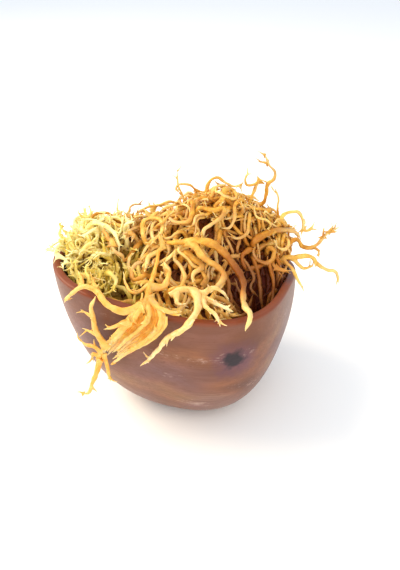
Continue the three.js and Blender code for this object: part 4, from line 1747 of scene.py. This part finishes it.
    def section(self, centre: Socket) -> Socket:
        """Makes the strands' surface broader across, and thinner the way that their flat side faces.

        Args:
            centre: The output that gives the centre line's place.

        Returns:
            The output that gives the surface's place.
        """
        tree = self.tree
        facing = add_node(
            tree, "GeometryNodeInputNamedAttribute", {"Name": "face"}, data_type="FLOAT_VECTOR"
        )
        face = add_node(
            tree, "ShaderNodeVectorMath", {0: facing.outputs[0]}, operation="NORMALIZE"
        ).outputs[0]
        broad = add_node(
            tree, "GeometryNodeInputNamedAttribute", {"Name": "broad"}, data_type="FLOAT"
        ).outputs[0]
        slim = add_node(tree, "ShaderNodeMath", {0: 1.0, 1: broad}, operation="DIVIDE")
        squeeze = add_node(tree, "ShaderNodeMath", {0: slim.outputs[0], 1: broad}, operation="SUBTRACT")
        out = add_node(
            tree, "ShaderNodeVectorMath", {0: self.place, 1: centre}, operation="SUBTRACT"
        ).outputs[0]
        proud = add_node(tree, "ShaderNodeVectorMath", {0: out, 1: face}, operation="DOT_PRODUCT")
        pressed = add_node(
            tree, "ShaderNodeMath", {0: proud.outputs["Value"], 1: squeeze.outputs[0]}, operation="MULTIPLY"
        )
        widened = add_node(tree, "ShaderNodeVectorMath", {0: out, "Scale": broad}, operation="SCALE")
        flattened = add_node(
            tree, "ShaderNodeVectorMath", {0: face, "Scale": pressed.outputs[0]}, operation="SCALE"
        )
        around = add_node(
            tree, "ShaderNodeVectorMath", {0: widened.outputs[0], 1: flattened.outputs[0]}, operation="ADD"
        )
        return add_node(
            tree, "ShaderNodeVectorMath", {0: around.outputs[0], 1: centre}, operation="ADD"
        ).outputs[0]

    def knobbles(self) -> Socket:
        """Makes the small lumps that stand out of the strands' surface.

        Returns:
            The output that gives each point's shift.
        """
        tree, bumps = self.tree, self.noise("Lump Size").outputs["Fac"]
        level = add_node(tree, "ShaderNodeMath", {0: bumps, 1: 0.5}, operation="SUBTRACT")
        lift = add_node(
            tree, "ShaderNodeMath", {0: level.outputs[0], 1: self.given["Lumps"]}, operation="MULTIPLY"
        )
        normal = add_node(tree, "GeometryNodeInputNormal")
        return add_node(
            tree, "ShaderNodeVectorMath", {0: normal.outputs[0], "Scale": lift.outputs[0]}, operation="SCALE"
        ).outputs[0]


@dataclass
class MossPiece:
    """One node's moss: its strands' lines with what the tree and the finish read from them."""

    bunch: Bunch
    strands: list[Strand]
    tree: Tree
    finish: bpy.types.Material
    bowl: BowlForm
    heap: HeapForm
    dice: Dice
    slimness: float = 0.94
    edge_slimness: float = 0.62
    ribs: int = 4
    groove: float = 0.84
    spacing: float = 1.3
    wander: float = 0.7
    wander_size: float = 9
    kink: float = 0.5
    kink_size: float = 3.6
    ripple: float = 0.2
    ripple_size: float = 4.5
    lumps: float = 0.35
    lump_size: float = 2.6
    web: float = 0.7
    web_length: float = 2.6
    web_share: float = 0.16
    web_breadth: float = 0.8
    point_length: float = 5
    point_share: float = 0.45
    least_radius: float = 0.14
    root_share: float = 0.3
    hollow_depth: float = 27
    pinch_power: float = 0.7
    # How much painted shade the depth attribute gives low in the layer, in the hollows and on the buried mat.
    layer_painted_shade: float = 0.7
    hollow_painted_shade: float = 0.8
    mat_painted_shade: float = 0.9
    branch_tip: float = 0.6
    middle_height: float = 60
    line_chords: int = 60

    def dress(self, strand: Strand) -> tuple[np.ndarray, dict[str, np.ndarray]]:
        """Works out one strand's line and its look along it.

        Args:
            strand: The strand.

        Returns:
            The line's points, and each attribute's value at them.
        """
        path = smooth_line(strand.path, self.spacing, divisions=self.line_chords)
        run = lengths_along(path)
        share = run / run[-1]
        point = min(self.point_length, run[-1] * self.point_share)
        pinch = np.clip((run[-1] - run) / point, 0, 1) ** self.pinch_power
        web_length = min(self.web_length, run[-1] * self.web_share)
        web = np.exp(-run / web_length) * (strand.parent is not None)
        root = strand.root + (1 - strand.root) * np.clip(share / self.root_share, 0, 1)
        slimness = self.edge_slimness if strand.edge else self.slimness
        radius = strand.radius * slimness * root * (1 - strand.taper * share**2) * pinch
        radius = radius * (1 + self.web * web)
        x, y, z = path.T
        top = self.heap.top(x, y)
        # Painted shade: the depth attribute darkens strands low in the layer (with a little of the inner
        # strands' own browner tone), in the hollows and on the buried mat; strands outside the bowl get none.
        below = np.clip((top - z) / self.heap.strand_layer, 0, 1)
        sunk = np.clip((self.heap.top(x, y, with_hollows=False) - top) / self.hollow_depth, 0, 1)
        shade = np.clip(self.layer_painted_shade * below + self.hollow_painted_shade * sunk, 0, 1)
        depth = np.where(self.bowl.is_outside(path), 0, shade)
        values = {
            "thickness": np.maximum(radius, self.least_radius) * MM,
            "broad": strand.broad + self.web_breadth * web,
            "tint": np.full(len(path), strand.tint),
            "tip": share if strand.parent is None else np.maximum(share, self.branch_tip),
            "depth": np.maximum(depth, self.mat_painted_shade * strand.buried),
            "face": self.facing(strand, path, run, web),
        }
        return path * MM, values

    def lines(self) -> bpy.types.Mesh:
        """Makes the mesh of lines, with each point's thickness, breadth, facing and tones.

        Returns:
            The mesh.
        """
        points, edges = [], []
        marks: dict[str, list] = {}
        for strand in self.strands:
            if strand.tint is None:
                own = self.dice.next() if self.bunch.tint is None else self.bunch.tint
                strand.tint = strand.parent.tint if strand.parent else own
            path, values = self.dress(strand)
            first = len(points)
            points += list(path)
            edges += [(first + i, first + i + 1) for i in range(len(path) - 1)]
            for name, value in values.items():
                marks.setdefault(name, []).append(value)
        mesh = bpy.data.meshes.new(self.bunch.name)
        mesh.from_pydata(points, edges, [])
        faces = np.concatenate(marks.pop("face")).ravel()
        mesh.attributes.new("face", "FLOAT_VECTOR", "POINT").data.foreach_set("vector", faces)
        for name, values in marks.items():
            mesh.attributes.new(name, "FLOAT", "POINT").data.foreach_set("value", np.concatenate(values))
        return mesh

    def facing(self, strand: Strand, path: np.ndarray, run: np.ndarray, web: np.ndarray) -> np.ndarray:
        """Finds the way that a strand's flat side faces along it.

        Args:
            strand: The strand.
            path: Its line's points.
            run: How far along each of them is.
            web: How much of the web at its root each of them is in.

        Returns:
            One direction for each point.
        """
        along = np.gradient(path, axis=0)
        along = along / np.linalg.norm(along, axis=1)[:, None]
        outward = path - (*self.bowl.rim_shift, self.middle_height)
        out = outward - along * (outward * along).sum(axis=1)[:, None]
        out = out / np.maximum(np.linalg.norm(out, axis=1), 1e-6)[:, None]
        turn = np.radians(strand.twist) * run[:, None]
        face = out * np.cos(turn) + np.cross(along, out) * np.sin(turn)
        if strand.parent is None:
            return face
        nearest = int(np.linalg.norm(strand.parent.path - strand.path[0], axis=1).argmin())
        way = np.gradient(strand.parent.path, axis=0)[nearest]
        across = unit(np.cross(way, strand.path[1] - strand.path[0]))
        across = across * (1 if across @ face[0] >= 0 else -1)
        return face * (1 - web[:, None]) + across * web[:, None]

    def build(self) -> bpy.types.Object:
        """Makes the piece, which stands for its node.

        Returns:
            The piece, as one plain mesh.
        """
        holder = bpy.data.objects.new(self.bunch.name + "_lines", self.lines())
        bpy.context.scene.collection.objects.link(holder)
        modifier = holder.modifiers.new("strands", "NODES")
        modifier.node_group = self.tree
        given = {
            "Ribs": self.ribs,
            "Groove": self.groove,
            "Spacing": self.spacing * MM,
            "Wander": self.wander * MM,
            "Wander Size": self.wander_size * MM,
            "Kink": self.kink * MM,
            "Kink Size": self.kink_size * MM,
            "Ripple": self.ripple,
            "Ripple Size": self.ripple_size * MM,
            "Lumps": self.lumps * MM,
            "Lump Size": self.lump_size * MM,
            "Finish": self.finish,
        }
        for socket in self.tree.interface.items_tree:
            if socket.name in given:
                modifier[socket.identifier] = given[socket.name]
        graph = bpy.context.evaluated_depsgraph_get()
        made = bpy.data.meshes.new_from_object(holder.evaluated_get(graph))
        bpy.data.objects.remove(holder)
        piece = bpy.data.objects.new(self.bunch.name + "_strands", made)
        bpy.context.scene.collection.objects.link(piece)
        if not made.materials:
            made.materials.append(self.finish)
        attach(piece, ROOT_BODY)
        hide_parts(self.bunch.name)
        LOG.info("%s: %d strands, %d triangles", piece.name, len(self.strands), triangles(made))
        return piece


def triangles(mesh: bpy.types.Mesh) -> int:
    """How many triangles a mesh has."""
    return sum(len(face.vertices) - 2 for face in mesh.polygons)


def ring_faces(rings: int, sides: int) -> list[tuple[int, ...]]:
    """Joins rings of corners, and closes both ends with fans.

    Args:
        rings: How many rings there are, each above or inside the one before it.
        sides: How many corners each has. The two fans' hubs come after the last ring.

    Returns:
        The faces.
    """
    faces = []
    sides_after = [(side, (side + 1) % sides) for side in range(sides)]
    for low in range(0, (rings - 1) * sides, sides):
        high = low + sides
        faces += [(low + side, low + after, high + after, high + side) for side, after in sides_after]
    hub, last = rings * sides, (rings - 1) * sides
    for side, after in sides_after:
        faces.append((hub, after, side))
        faces.append((hub + 1, last + side, last + after))
    return faces


@dataclass
class Bowl:
    """The carved bowl, with a finer wall and a rounder lip than its solid."""

    form: BowlForm
    finish: bpy.types.Material
    sides: int = 180
    rings: int = 60
    ring_spacing: float = 1.7
    lip_steps: int = 6

    def angles(self) -> np.ndarray:
        """The angles of a ring's corners."""
        return 2 * math.pi * np.arange(self.sides) / self.sides

    def ring(self, inside: bool, share: float, rise: float = 0.0, inset: float = 0.0) -> np.ndarray:
        """Makes one ring of corners.

        Args:
            inside: Whether it is on the inner wall.
            share: How far up the wall it is, below the lip.
            rise: How far up the lip it is.
            inset: How far the lip has drawn in by there.

        Returns:
            Its corners, in rows.
        """
        form, angles = self.form, self.angles()
        height = form.rim(angles)
        low = form.floor if inside else 0.0
        z = low + (height - form.lip - low) * share + rise
        radius = form.inner(angles, z / height) + inset if inside else form.outer(angles, z / height) - inset
        east = radius * np.cos(angles) + form.rim_shift[0] * z / height
        north = radius * np.sin(angles) + form.rim_shift[1] * z / height
        return np.stack([east, north, z], axis=1)

    def build(self) -> bpy.types.Object:
        """Makes the bowl, which stands for its node.

        Returns:
            The piece.
        """
        form = self.form
        shares = [(ring / self.rings) ** self.ring_spacing for ring in range(self.rings)]
        turns = [math.pi / 2 * step / self.lip_steps for step in range(self.lip_steps + 1)]
        lip = [(form.lip * math.sin(turn), form.lip * (1 - math.cos(turn))) for turn in turns]
        rings = [self.ring(False, share) for share in shares]
        rings += [self.ring(False, 1.0, rise, inset) for rise, inset in lip]
        rings += [self.ring(True, 1.0, rise, inset) for rise, inset in reversed(lip)]
        rings += [self.ring(True, share) for share in reversed(shares)]
        points = [tuple(point) for ring in rings for point in ring]
        height = form.rim(self.angles())
        drops = [drop for ring in rings for drop in height - ring[:, 2]]
        inside_marks = [0.0] * (len(points) // 2) + [1.0] * (len(points) // 2)
        faces = ring_faces(len(rings), self.sides)
        points += [(0.0, 0.0, 0.0), form.place(0, 0, form.floor / form.rim_height, form.floor)]
        drops += [form.rim_height, form.rim_height - form.floor]
        inside_marks += [0.0, 1.0]
        mesh = bpy.data.meshes.new("bowl_wood")
        mesh.from_pydata((np.array(points) * MM).tolist(), [], faces)
        mesh.attributes.new("below_rim", "FLOAT", "POINT").data.foreach_set("value", drops)
        mesh.attributes.new("inside", "FLOAT", "POINT").data.foreach_set("value", inside_marks)
        mesh.shade_smooth()
        mesh.materials.append(self.finish)
        piece = bpy.data.objects.new("bowl_wood", mesh)
        bpy.context.scene.collection.objects.link(piece)
        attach(piece, ROOT_BODY)
        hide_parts("bowl")
        LOG.info("%s: %d triangles", piece.name, triangles(mesh))
        return piece


@dataclass
class InnerTangle:
    """The close tangle that fills the bowl under the strands, coloured dark as painted shade."""

    trimmings: Trimmings
    finish: bpy.types.Material
    sides: int = 120
    rings: int = 44
    depth: float = 30
    sunk: float = 1.2
    edge_share: float = 0.93
    lump: float = 1.5
    lump_size: float = 5
    closing: float = 0.985
    lump_rise: float = 4
    under_share: float = 0.7

    def build(self) -> bpy.types.Object:
        """Makes the tangle as one closed mound.

        Returns:
            The piece.
        """
        growth = self.trimmings.growth
        shift_x, shift_y = growth.bowl.rim_shift
        # The noise starts from the clock unless it has a seed.
        noise.seed_set(SEED)
        points = []
        for ring in range(self.rings + 1):
            inward = ring / self.rings
            for side in range(self.sides):
                angle = 2 * math.pi * side / self.sides
                plan = growth.bowl.half_width * float(growth.bowl.plan_factor(np.array(angle)))
                radius = plan * self.edge_share * (1 - inward * self.closing)
                x = shift_x + radius * math.cos(angle)
                y = shift_y + radius * math.sin(angle)
                z = self.trimmings.core_height(x, y) - self.sunk
                wobble = noise.noise_vector(Vector((x, y, z)) / self.lump_size)
                points.append(Vector((x, y, z)) + wobble * self.lump * min(1, inward * self.lump_rise))
        underside = []
        for point in points[: self.sides]:
            x = shift_x + (point.x - shift_x) * self.under_share
            y = shift_y + (point.y - shift_y) * self.under_share
            underside.append(Vector((x, y, point.z - self.depth)))
        innermost = points[-self.sides :]
        hubs = [sum(ring, Vector()) / self.sides for ring in (underside, innermost)]
        points = [*underside, *points, *hubs]
        faces = ring_faces(self.rings + 2, self.sides)
        mesh = bpy.data.meshes.new("inner_tangle")
        mesh.from_pydata([p * MM for p in points], [], faces)
        mesh.shade_smooth()
        mesh.materials.append(self.finish)
        piece = bpy.data.objects.new("inner_tangle", mesh)
        bpy.context.scene.collection.objects.link(piece)
        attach(piece, ROOT_BODY)
        LOG.info("%s: %d triangles", piece.name, triangles(mesh))
        return piece


def new_material(name: str) -> tuple[bpy.types.Material, Tree]:
    """Makes an empty node material.

    Args:
        name: Its name.

    Returns:
        The material and its tree.
    """
    material = bpy.data.materials.new(name)
    material.use_nodes = True
    material.node_tree.nodes.clear()
    return material, material.node_tree


# Places of a colour mix node's two colours and of its result, which share names with other types.
MIX_A = 6
MIX_B = 7
MIX_OUT = 2


def blended(tree: Tree, share: Socket, tone: Socket, colour: str) -> Socket:
    """Mixes a colour into a tone.

    Args:
        tree: The tree.
        share: The output that gives how much of the colour shows.
        tone: The output that gives the tone.
        colour: The colour, in hex.

    Returns:
        The mixed colour's output.
    """
    inputs = {0: share, MIX_A: tone, MIX_B: linear(colour)}
    return add_node(tree, "ShaderNodeMix", inputs, data_type="RGBA").outputs[MIX_OUT]


@dataclass(frozen=True)
class Layer:
    """How a colour is laid over others: the span of the value it follows, and its share at each end."""

    start: float
    end: float
    last: float = 0.0
    first: float = 0.0
    curve: str = "LINEAR"

    def over(self, tree: Tree, tone: Socket, value: Socket, colour: str) -> Socket:
        """Lays a colour over a tone.

        Args:
            tree: The tree.
            tone: The output that gives the tone.
            value: The output that it follows.
            colour: The colour, in hex.

        Returns:
            The output that gives both.
        """
        share = add_node(
            tree,
            "ShaderNodeMapRange",
            {
                "Value": value,
                "From Min": self.start,
                "From Max": self.end,
                "To Min": self.first,
                "To Max": self.last,
            },
            interpolation_type=self.curve,
        )
        return blended(tree, share.outputs[0], tone, colour)


@dataclass(frozen=True)
class Grain:
    """A noise in the wood: its features' size along each axis, in millimetres, and how fine it is."""

    size: Point
    detail: float
    roughness: float = 0.5
    lean: float = 0.06

    def build(self, tree: Tree, place: Socket) -> Socket:
        """Adds the noise.

        Args:
            tree: The tree.
            place: The output that gives the place.

        Returns:
            The noise's output.
        """
        scale = tuple(1 / (size * MM) for size in self.size)
        turned = add_node(
            tree, "ShaderNodeMapping", {"Vector": place, "Rotation": (0, self.lean, 0), "Scale": scale}
        )
        return add_node(
            tree,
            "ShaderNodeTexNoise",
            {
                "Vector": turned.outputs[0],
                "Scale": 1.0,
                "Detail": self.detail,
                "Roughness": self.roughness,
            },
        ).outputs["Fac"]


@dataclass(frozen=True)
class OiledAcacia:
    """Acacia, carved, sanded and oiled: satin, with a fine level grain, faint bands and a knot."""

    ground: str = "#8a5434"
    light: str = "#9c7148"
    dark: str = "#603520"
    violet: str = "#7a5860"
    rim: str = "#7c3406"
    glow: str = "#5a3446"
    band: str = "#6c3d22"
    # Painted shade: the inner wall's colour, darker than the outer wall's.
    inside: str = "#4a1d0e"
    knot_colour: str = "#180a16"
    scuff: str = "#c4a596"
    patches: Grain = Grain((54.4, 34, 20.4), 2)
    violet_patches: Grain = Grain((34, 47.6, 27.2), 1)
    fibres: Grain = Grain((38, 1.3, 1.3), 5, 0.6)
    pores: Grain = Grain((5, 0.7, 0.7), 2)
    scuffs: Grain = Grain((7, 2, 1.6), 4, 0.75)
    scuff_places: Grain = Grain((30, 30, 16), 1)
    violet_layer: Layer = Layer(0.42, 0.66, 0.5)
    fibre_layer: Layer = Layer(0.3, 0.7, 0.5)
    ring_layer: Layer = Layer(0.0, 1.0, 0.3)
    pore_layer: Layer = Layer(0.62, 0.72, 0.55)
    scuff_layer: Layer = Layer(0.34, 0.42, 0.5)
    glow_layer: Layer = Layer(5.8 * MM, 18.56 * MM, first=0.6, curve="SMOOTHSTEP")
    knot_layer: Layer = Layer(3.48 * MM, 8.7 * MM, first=0.97, curve="SMOOTHSTEP")
    band_layer: Layer = Layer(5.0, 26.0, first=0.65)
    rim_layer: Layer = Layer(0.5, 2.6, first=0.85)
    ring: float = 9
    ring_centre: Point = (0, -0.05, 0.03)
    ring_lean: float = 0.05
    knot: Point = (25.7, -63.2, 66)
    wobble: float = 11
    wobble_size: float = 5
    band_wobble: float = 8
    roughness: float = 0.42
    bump: float = 0.12

    def grained(self, tree: Tree, place: Socket, fibre: Socket, pore: Socket) -> Socket:
        """Makes the plain wood: brown and violet patches, with fibres, growth rings and pores.

        Args:
            tree: The tree.
            place: The output that gives the place.
            fibre: The output that gives the fibres.
            pore: The output that gives the pores.

        Returns:
            The tone's output.
        """
        centred = add_node(
            tree,
            "ShaderNodeMapping",
            {"Vector": place, "Location": self.ring_centre, "Rotation": (0, self.ring_lean, 0)},
        )
        rings = add_node(
            tree,
            "ShaderNodeTexWave",
            {
                "Vector": centred.outputs[0],
                "Scale": 2 * math.pi / (20 * self.ring * MM),
                "Distortion": 5.0,
                "Detail": 3.0,
                "Detail Scale": 0.7,
            },
            wave_type="RINGS",
            rings_direction="X",
        )
        tone = add_node(
            tree,
            "ShaderNodeValToRGB",
            {"Fac": self.patches.build(tree, place)},
            stops=((0.32, self.dark), (0.68, self.light), (0.5, self.ground)),
        ).outputs[0]
        tone = self.violet_layer.over(tree, tone, self.violet_patches.build(tree, place), self.violet)
        tone = self.fibre_layer.over(tree, tone, fibre, self.dark)
        tone = self.ring_layer.over(tree, tone, rings.outputs["Fac"], self.dark)
        return self.pore_layer.over(tree, tone, pore, self.dark)

    def marked(self, tree: Tree, place: Socket, wobble: bpy.types.Node, tone: Socket) -> Socket:
        """Adds the knot with its dark halo, and the pale scuffs.

        Args:
            tree: The tree.
            place: The output that gives the place.
            wobble: The noise that makes the knot uneven.
            tone: The output that gives the plain wood.

        Returns:
            The tone's output.
        """
        shifted = add_node(
            tree,
            "ShaderNodeVectorMath",
            {0: wobble.outputs["Color"], 1: (self.wobble * MM,) * 3, 2: place},
            operation="MULTIPLY_ADD",
        )
        centre = tuple((c + self.wobble / 2) * MM for c in self.knot)
        from_knot = add_node(
            tree, "ShaderNodeVectorMath", {0: shifted.outputs[0], 1: centre}, operation="DISTANCE"
        ).outputs["Value"]
        tone = self.glow_layer.over(tree, tone, from_knot, self.glow)
        scuffed = add_node(
            tree,
            "ShaderNodeMath",
            {0: self.scuffs.build(tree, place), 1: self.scuff_places.build(tree, place)},
            operation="MULTIPLY",
        )
        tone = self.scuff_layer.over(tree, tone, scuffed.outputs[0], self.scuff)
        return self.knot_layer.over(tree, tone, from_knot, self.knot_colour)

    def edged(self, tree: Tree, wobble: bpy.types.Node, tone: Socket) -> Socket:
        """Adds the darker band under the rim, the inner wall darkened as painted shade, and the rim's own
        line.

        Args:
            tree: The tree.
            wobble: The noise that makes the band uneven.
            tone: The output that gives the marked wood.

        Returns:
            The tone's output.
        """
        below_rim = add_node(tree, "ShaderNodeAttribute", attribute_name="below_rim").outputs["Fac"]
        wavering = add_node(
            tree,
            "ShaderNodeMath",
            {0: wobble.outputs["Fac"], 1: self.band_wobble, 2: below_rim},
            operation="MULTIPLY_ADD",
        ).outputs[0]
        tone = self.band_layer.over(tree, tone, wavering, self.band)
        # Painted shade: the inner wall is darkened to the inside colour.
        inside = add_node(tree, "ShaderNodeAttribute", attribute_name="inside").outputs["Fac"]
        tone = blended(tree, inside, tone, self.inside)
        return self.rim_layer.over(tree, tone, below_rim, self.rim)

    def build(self) -> bpy.types.Material:
        """Makes the material.

        Returns:
            The material.
        """
        material, tree = new_material("oiled acacia")
        place = add_node(tree, "ShaderNodeTexCoord").outputs["Object"]
        fibre, pore = self.fibres.build(tree, place), self.pores.build(tree, place)
        wobble = add_node(
            tree, "ShaderNodeTexNoise", {"Vector": place, "Scale": 1 / (self.wobble_size * MM), "Detail": 2.0}
        )
        tone = self.marked(tree, place, wobble, self.grained(tree, place, fibre, pore))
        height = add_node(tree, "ShaderNodeMath", {0: fibre, 1: pore}, operation="SUBTRACT").outputs[0]
        bump = add_node(
            tree, "ShaderNodeBump", {"Strength": 0.35, "Distance": self.bump * MM, "Height": height}
        )
        rough = add_node(
            tree,
            "ShaderNodeMapRange",
            {"Value": fibre, "To Min": self.roughness - 0.08, "To Max": self.roughness + 0.12},
        )
        shader = add_node(
            tree,
            "ShaderNodeBsdfPrincipled",
            {
                "Base Color": self.edged(tree, wobble, tone),
                "Roughness": rough.outputs[0],
                "Normal": bump.outputs[0],
                "IOR": 1.48,
                "Specular IOR Level": 0.4,
                "Sheen Weight": 0.06,
                "Sheen Roughness": 0.5,
            },
        )
        add_node(tree, "ShaderNodeOutputMaterial", {"Surface": shader.outputs[0]})
        return material


@dataclass(frozen=True)
class DriedMoss:
    """Dried moss: a gum-like translucent skin, paler at the tips, and browner low in the heap, partly its own
    tone and mostly painted shade.
    """

    name: str
    dark: str
    middle: str
    light: str
    tip: str
    # Painted shade: the shaded and the dark brown colours stand for shade in the heap, over a little of the
    # inner strands' own browner tone.
    shaded: str = "#b0601a"
    deep_brown_and_shade: str = "#5e1e08"
    tip_layer: Layer = Layer(0.55, 1.0, 0.7)
    shaded_layer: Layer = Layer(0.12, 0.6, 0.75)
    deep_brown_and_shade_layer: Layer = Layer(0.5, 1.0, 0.95)
    tint_share: float = 0.45
    blotch: float = 5
    wrinkle: float = 0.9
    wrinkle_depth: float = 0.15
    roughness: float = 0.45
    translucence: float = 0.25
    scatter: float = 1.2

    def toned(self, tree: Tree, place: Socket) -> Socket:
        """Makes the moss's colour, from each strand's tint and its tip, with painted shade by its depth in
        the heap.

        Args:
            tree: The tree.
            place: The output that gives the place.

        Returns:
            The tone's output.
        """
        tint, tip, depth = (
            add_node(tree, "ShaderNodeAttribute", attribute_name=name).outputs["Fac"]
            for name in ("tint", "tip", "depth")
        )
        blotches = add_node(
            tree,
            "ShaderNodeTexNoise",
            {"Vector": place, "Scale": 1 / (self.blotch * MM), "Detail": 4.0, "Roughness": 0.6},
        ).outputs["Fac"]
        mixed = add_node(
            tree, "ShaderNodeMath", {0: tint, 1: self.tint_share, 2: blotches}, operation="MULTIPLY_ADD"
        )
        tone = add_node(
            tree,
            "ShaderNodeValToRGB",
            {"Fac": mixed.outputs[0]},
            stops=((0.42, self.dark), (1.0, self.light), (0.72, self.middle)),
        ).outputs[0]
        tone = self.tip_layer.over(tree, tone, tip, self.tip)
        # Painted shade, laid by the depth attribute.
        tone = self.shaded_layer.over(tree, tone, depth, self.shaded)
        return self.deep_brown_and_shade_layer.over(tree, tone, depth, self.deep_brown_and_shade)

    def build(self) -> bpy.types.Material:
        """Makes the material.

        Returns:
            The material.
        """
        material, tree = new_material(self.name)
        place = add_node(tree, "ShaderNodeTexCoord").outputs["Object"]
        skin = add_node(
            tree, "ShaderNodeTexNoise", {"Vector": place, "Scale": 1 / (self.wrinkle * MM), "Detail": 3.0}
        ).outputs["Fac"]
        bump = add_node(
            tree, "ShaderNodeBump", {"Strength": 0.3, "Distance": self.wrinkle_depth * MM, "Height": skin}
        )
        rough = add_node(
            tree,
            "ShaderNodeMapRange",
            {"Value": skin, "To Min": self.roughness - 0.1, "To Max": self.roughness + 0.12},
        )
        shader = add_node(
            tree,
            "ShaderNodeBsdfPrincipled",
            {
                "Base Color": self.toned(tree, place),
                "Roughness": rough.outputs[0],
                "Normal": bump.outputs[0],
                "IOR": 1.45,
                "Specular IOR Level": 0.3,
                "Subsurface Weight": self.translucence,
                "Subsurface Radius": (1.0, 0.5, 0.15),
                "Subsurface Scale": self.scatter * MM,
            },
        )
        add_node(tree, "ShaderNodeOutputMaterial", {"Surface": shader.outputs[0]})
        return material


@dataclass(frozen=True)
class WhiteBoard:
    """Matt white painted board, the floor under the bowl."""

    colour: str = "#faf9f5"
    roughness: float = 0.75

    def build(self) -> bpy.types.Material:
        """Makes the material.

        Returns:
            The material.
        """
        material, tree = new_material("matt white board")
        shader = add_node(
            tree,
            "ShaderNodeBsdfPrincipled",
            {"Base Color": linear(self.colour), "Roughness": self.roughness},
        )
        add_node(tree, "ShaderNodeOutputMaterial", {"Surface": shader.outputs[0]})
        return material


# Each finish's shaded and dark brown colours are painted shade.
MOSS_FINISHES = {
    Shade.GOLDEN: DriedMoss("dried moss, golden", "#b4721c", "#e1a840", "#f0cb70", "#f7dfa0"),
    Shade.AMBER: DriedMoss(
        "dried moss, amber",
        "#d97a12",
        "#e6a23c",
        "#efbd66",
        "#f5d796",
        translucence=0.4,
        scatter=1.8,
    ),
    Shade.PALE: DriedMoss(
        "dried moss, pale",
        "#e8ca62",
        "#fbea94",
        "#fdf4b2",
        "#fef6c2",
        shaded="#dcb050",
        deep_brown_and_shade="#9a6420",
        translucence=0.1,
        scatter=0.8,
    ),
    Shade.GREEN: DriedMoss(
        "dried moss, green",
        "#b59c2c",
        "#e2c34c",
        "#f2da78",
        "#f7e8a2",
        shaded="#b8922a",
        deep_brown_and_shade="#745010",
        translucence=0.1,
        scatter=0.8,
    ),
}
RIM_SPRIG_FINISH = DriedMoss("dried moss, cream", "#d79a3e", "#eec173", "#f5d89c", "#fae8bd")
# The tangle's dark colours are painted shade, for the shade under the strands.
SHADED_TANGLE_FINISH = DriedMoss(
    "dried moss, in shade", "#4a1405", "#6b220a", "#86340e", "#86340e", translucence=0.0, roughness=0.6
)


@dataclass(frozen=True)
class Studio:
    """A bright white room: a pale floor, an even sky, two big soft lamps and the camera."""

    aim: Point = (6.5, 0, 74)
    distance: float = 400
    elevation: float = 33
    focal_pixels: float = 640
    frame_height: float = 570
    sensor: float = 36
    floor_size: float = 8
    sky: str = "#e6f0ff"
    sky_strength: float = 1.0

    def camera(self) -> None:
        """Sets the camera at the angle that the bowl is seen from."""
        data = bpy.data.cameras.new("camera")
        data.sensor_width = self.sensor
        data.lens = self.focal_pixels / self.frame_height * self.sensor
        camera = bpy.data.objects.new("camera", data)
        bpy.context.scene.collection.objects.link(camera)
        tilt = math.radians(self.elevation)
        back = Vector((0, -math.cos(tilt), math.sin(tilt)))
        camera.location = (Vector(self.aim) + back * self.distance) * MM
        camera.rotation_euler = back.to_track_quat("Z", "Y").to_euler()
        bpy.context.scene.camera = camera

    def lamp(self, name: str, place: Point, size: float, power: float, colour: str) -> None:
        """Adds a soft square lamp that faces the bowl.

        Args:
            name: Its name.
            place: Where it hangs, in metres.
            size: The length of its side, in metres.
            power: Its power, in watts.
            colour: Its colour.
        """
        data = bpy.data.lights.new(name, "AREA")
        data.energy = power
        data.size = size
        data.color = linear(colour)[:3]
        lamp = bpy.data.objects.new(name, data)
        bpy.context.scene.collection.objects.link(lamp)
        lamp.location = place
        lamp.rotation_euler = (Vector(place) - Vector(self.aim) * MM).to_track_quat("Z", "Y").to_euler()

    def build(self) -> None:
        """Makes the floor, the sky, the lamps and the camera."""
        half = self.floor_size / 2
        mesh = bpy.data.meshes.new("floor")
        corners = [(-half, -half, 0), (half, -half, 0), (half, half, 0), (-half, half, 0)]
        mesh.from_pydata(corners, [], [(0, 1, 2, 3)])
        mesh.materials.append(WhiteBoard().build())
        floor = bpy.data.objects.new("floor", mesh)
        bpy.context.scene.collection.objects.link(floor)
        world = bpy.data.worlds.new("white room")
        world.use_nodes = True
        sky = world.node_tree.nodes["Background"]
        sky.inputs["Color"].default_value = linear(self.sky)
        sky.inputs["Strength"].default_value = self.sky_strength
        bpy.context.scene.world = world
        bpy.context.scene.view_settings.view_transform = "Standard"
        self.lamp("window light", (-0.75, 0.2, 0.8), 0.8, 14, "#ffecce")
        self.lamp("room fill", (0.3, -1.0, 0.7), 1.4, 10, "#fff1da")
        self.camera()


def main() -> None:
    """Builds the bowl, the moss and the studio."""
    logging.basicConfig(level=logging.INFO, format="%(message)s")
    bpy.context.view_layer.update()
    bowl = BowlForm()
    heap = HeapForm()
    growth = Growth(bowl, heap, Dice(SEED))
    grown = grow_moss(growth)
    fill_moss(growth, grown)
    LOG.info("%d strands grown", sum(map(len, grown.values())))
    trimmings = Trimmings(growth)
    tree = TubeTree().build()
    finishes = {shade: finish.build() for shade, finish in MOSS_FINISHES.items()}
    cream = RIM_SPRIG_FINISH.build()
    Bowl(bowl, OiledAcacia().build()).build()
    InnerTangle(trimmings, SHADED_TANGLE_FINISH.build()).build()
    for bunch, strands in grown.items():
        spurs = [spur for strand in strands for spur in trimmings.spurs(bunch, strand)]
        spurs += [prong for strand in strands for prong in trimmings.prongs(strand)]
        spurs += trimmings.blade(strands)
        mat = trimmings.mat(bunch) if bunch.at else []
        finish = cream if bunch.name == "rim_sprig" else finishes[bunch.shade]
        MossPiece(bunch, [*strands, *spurs, *mat], tree, finish, bowl, heap, growth.dice).build()
    Studio().build()


if __name__ == "__main__":
    main()
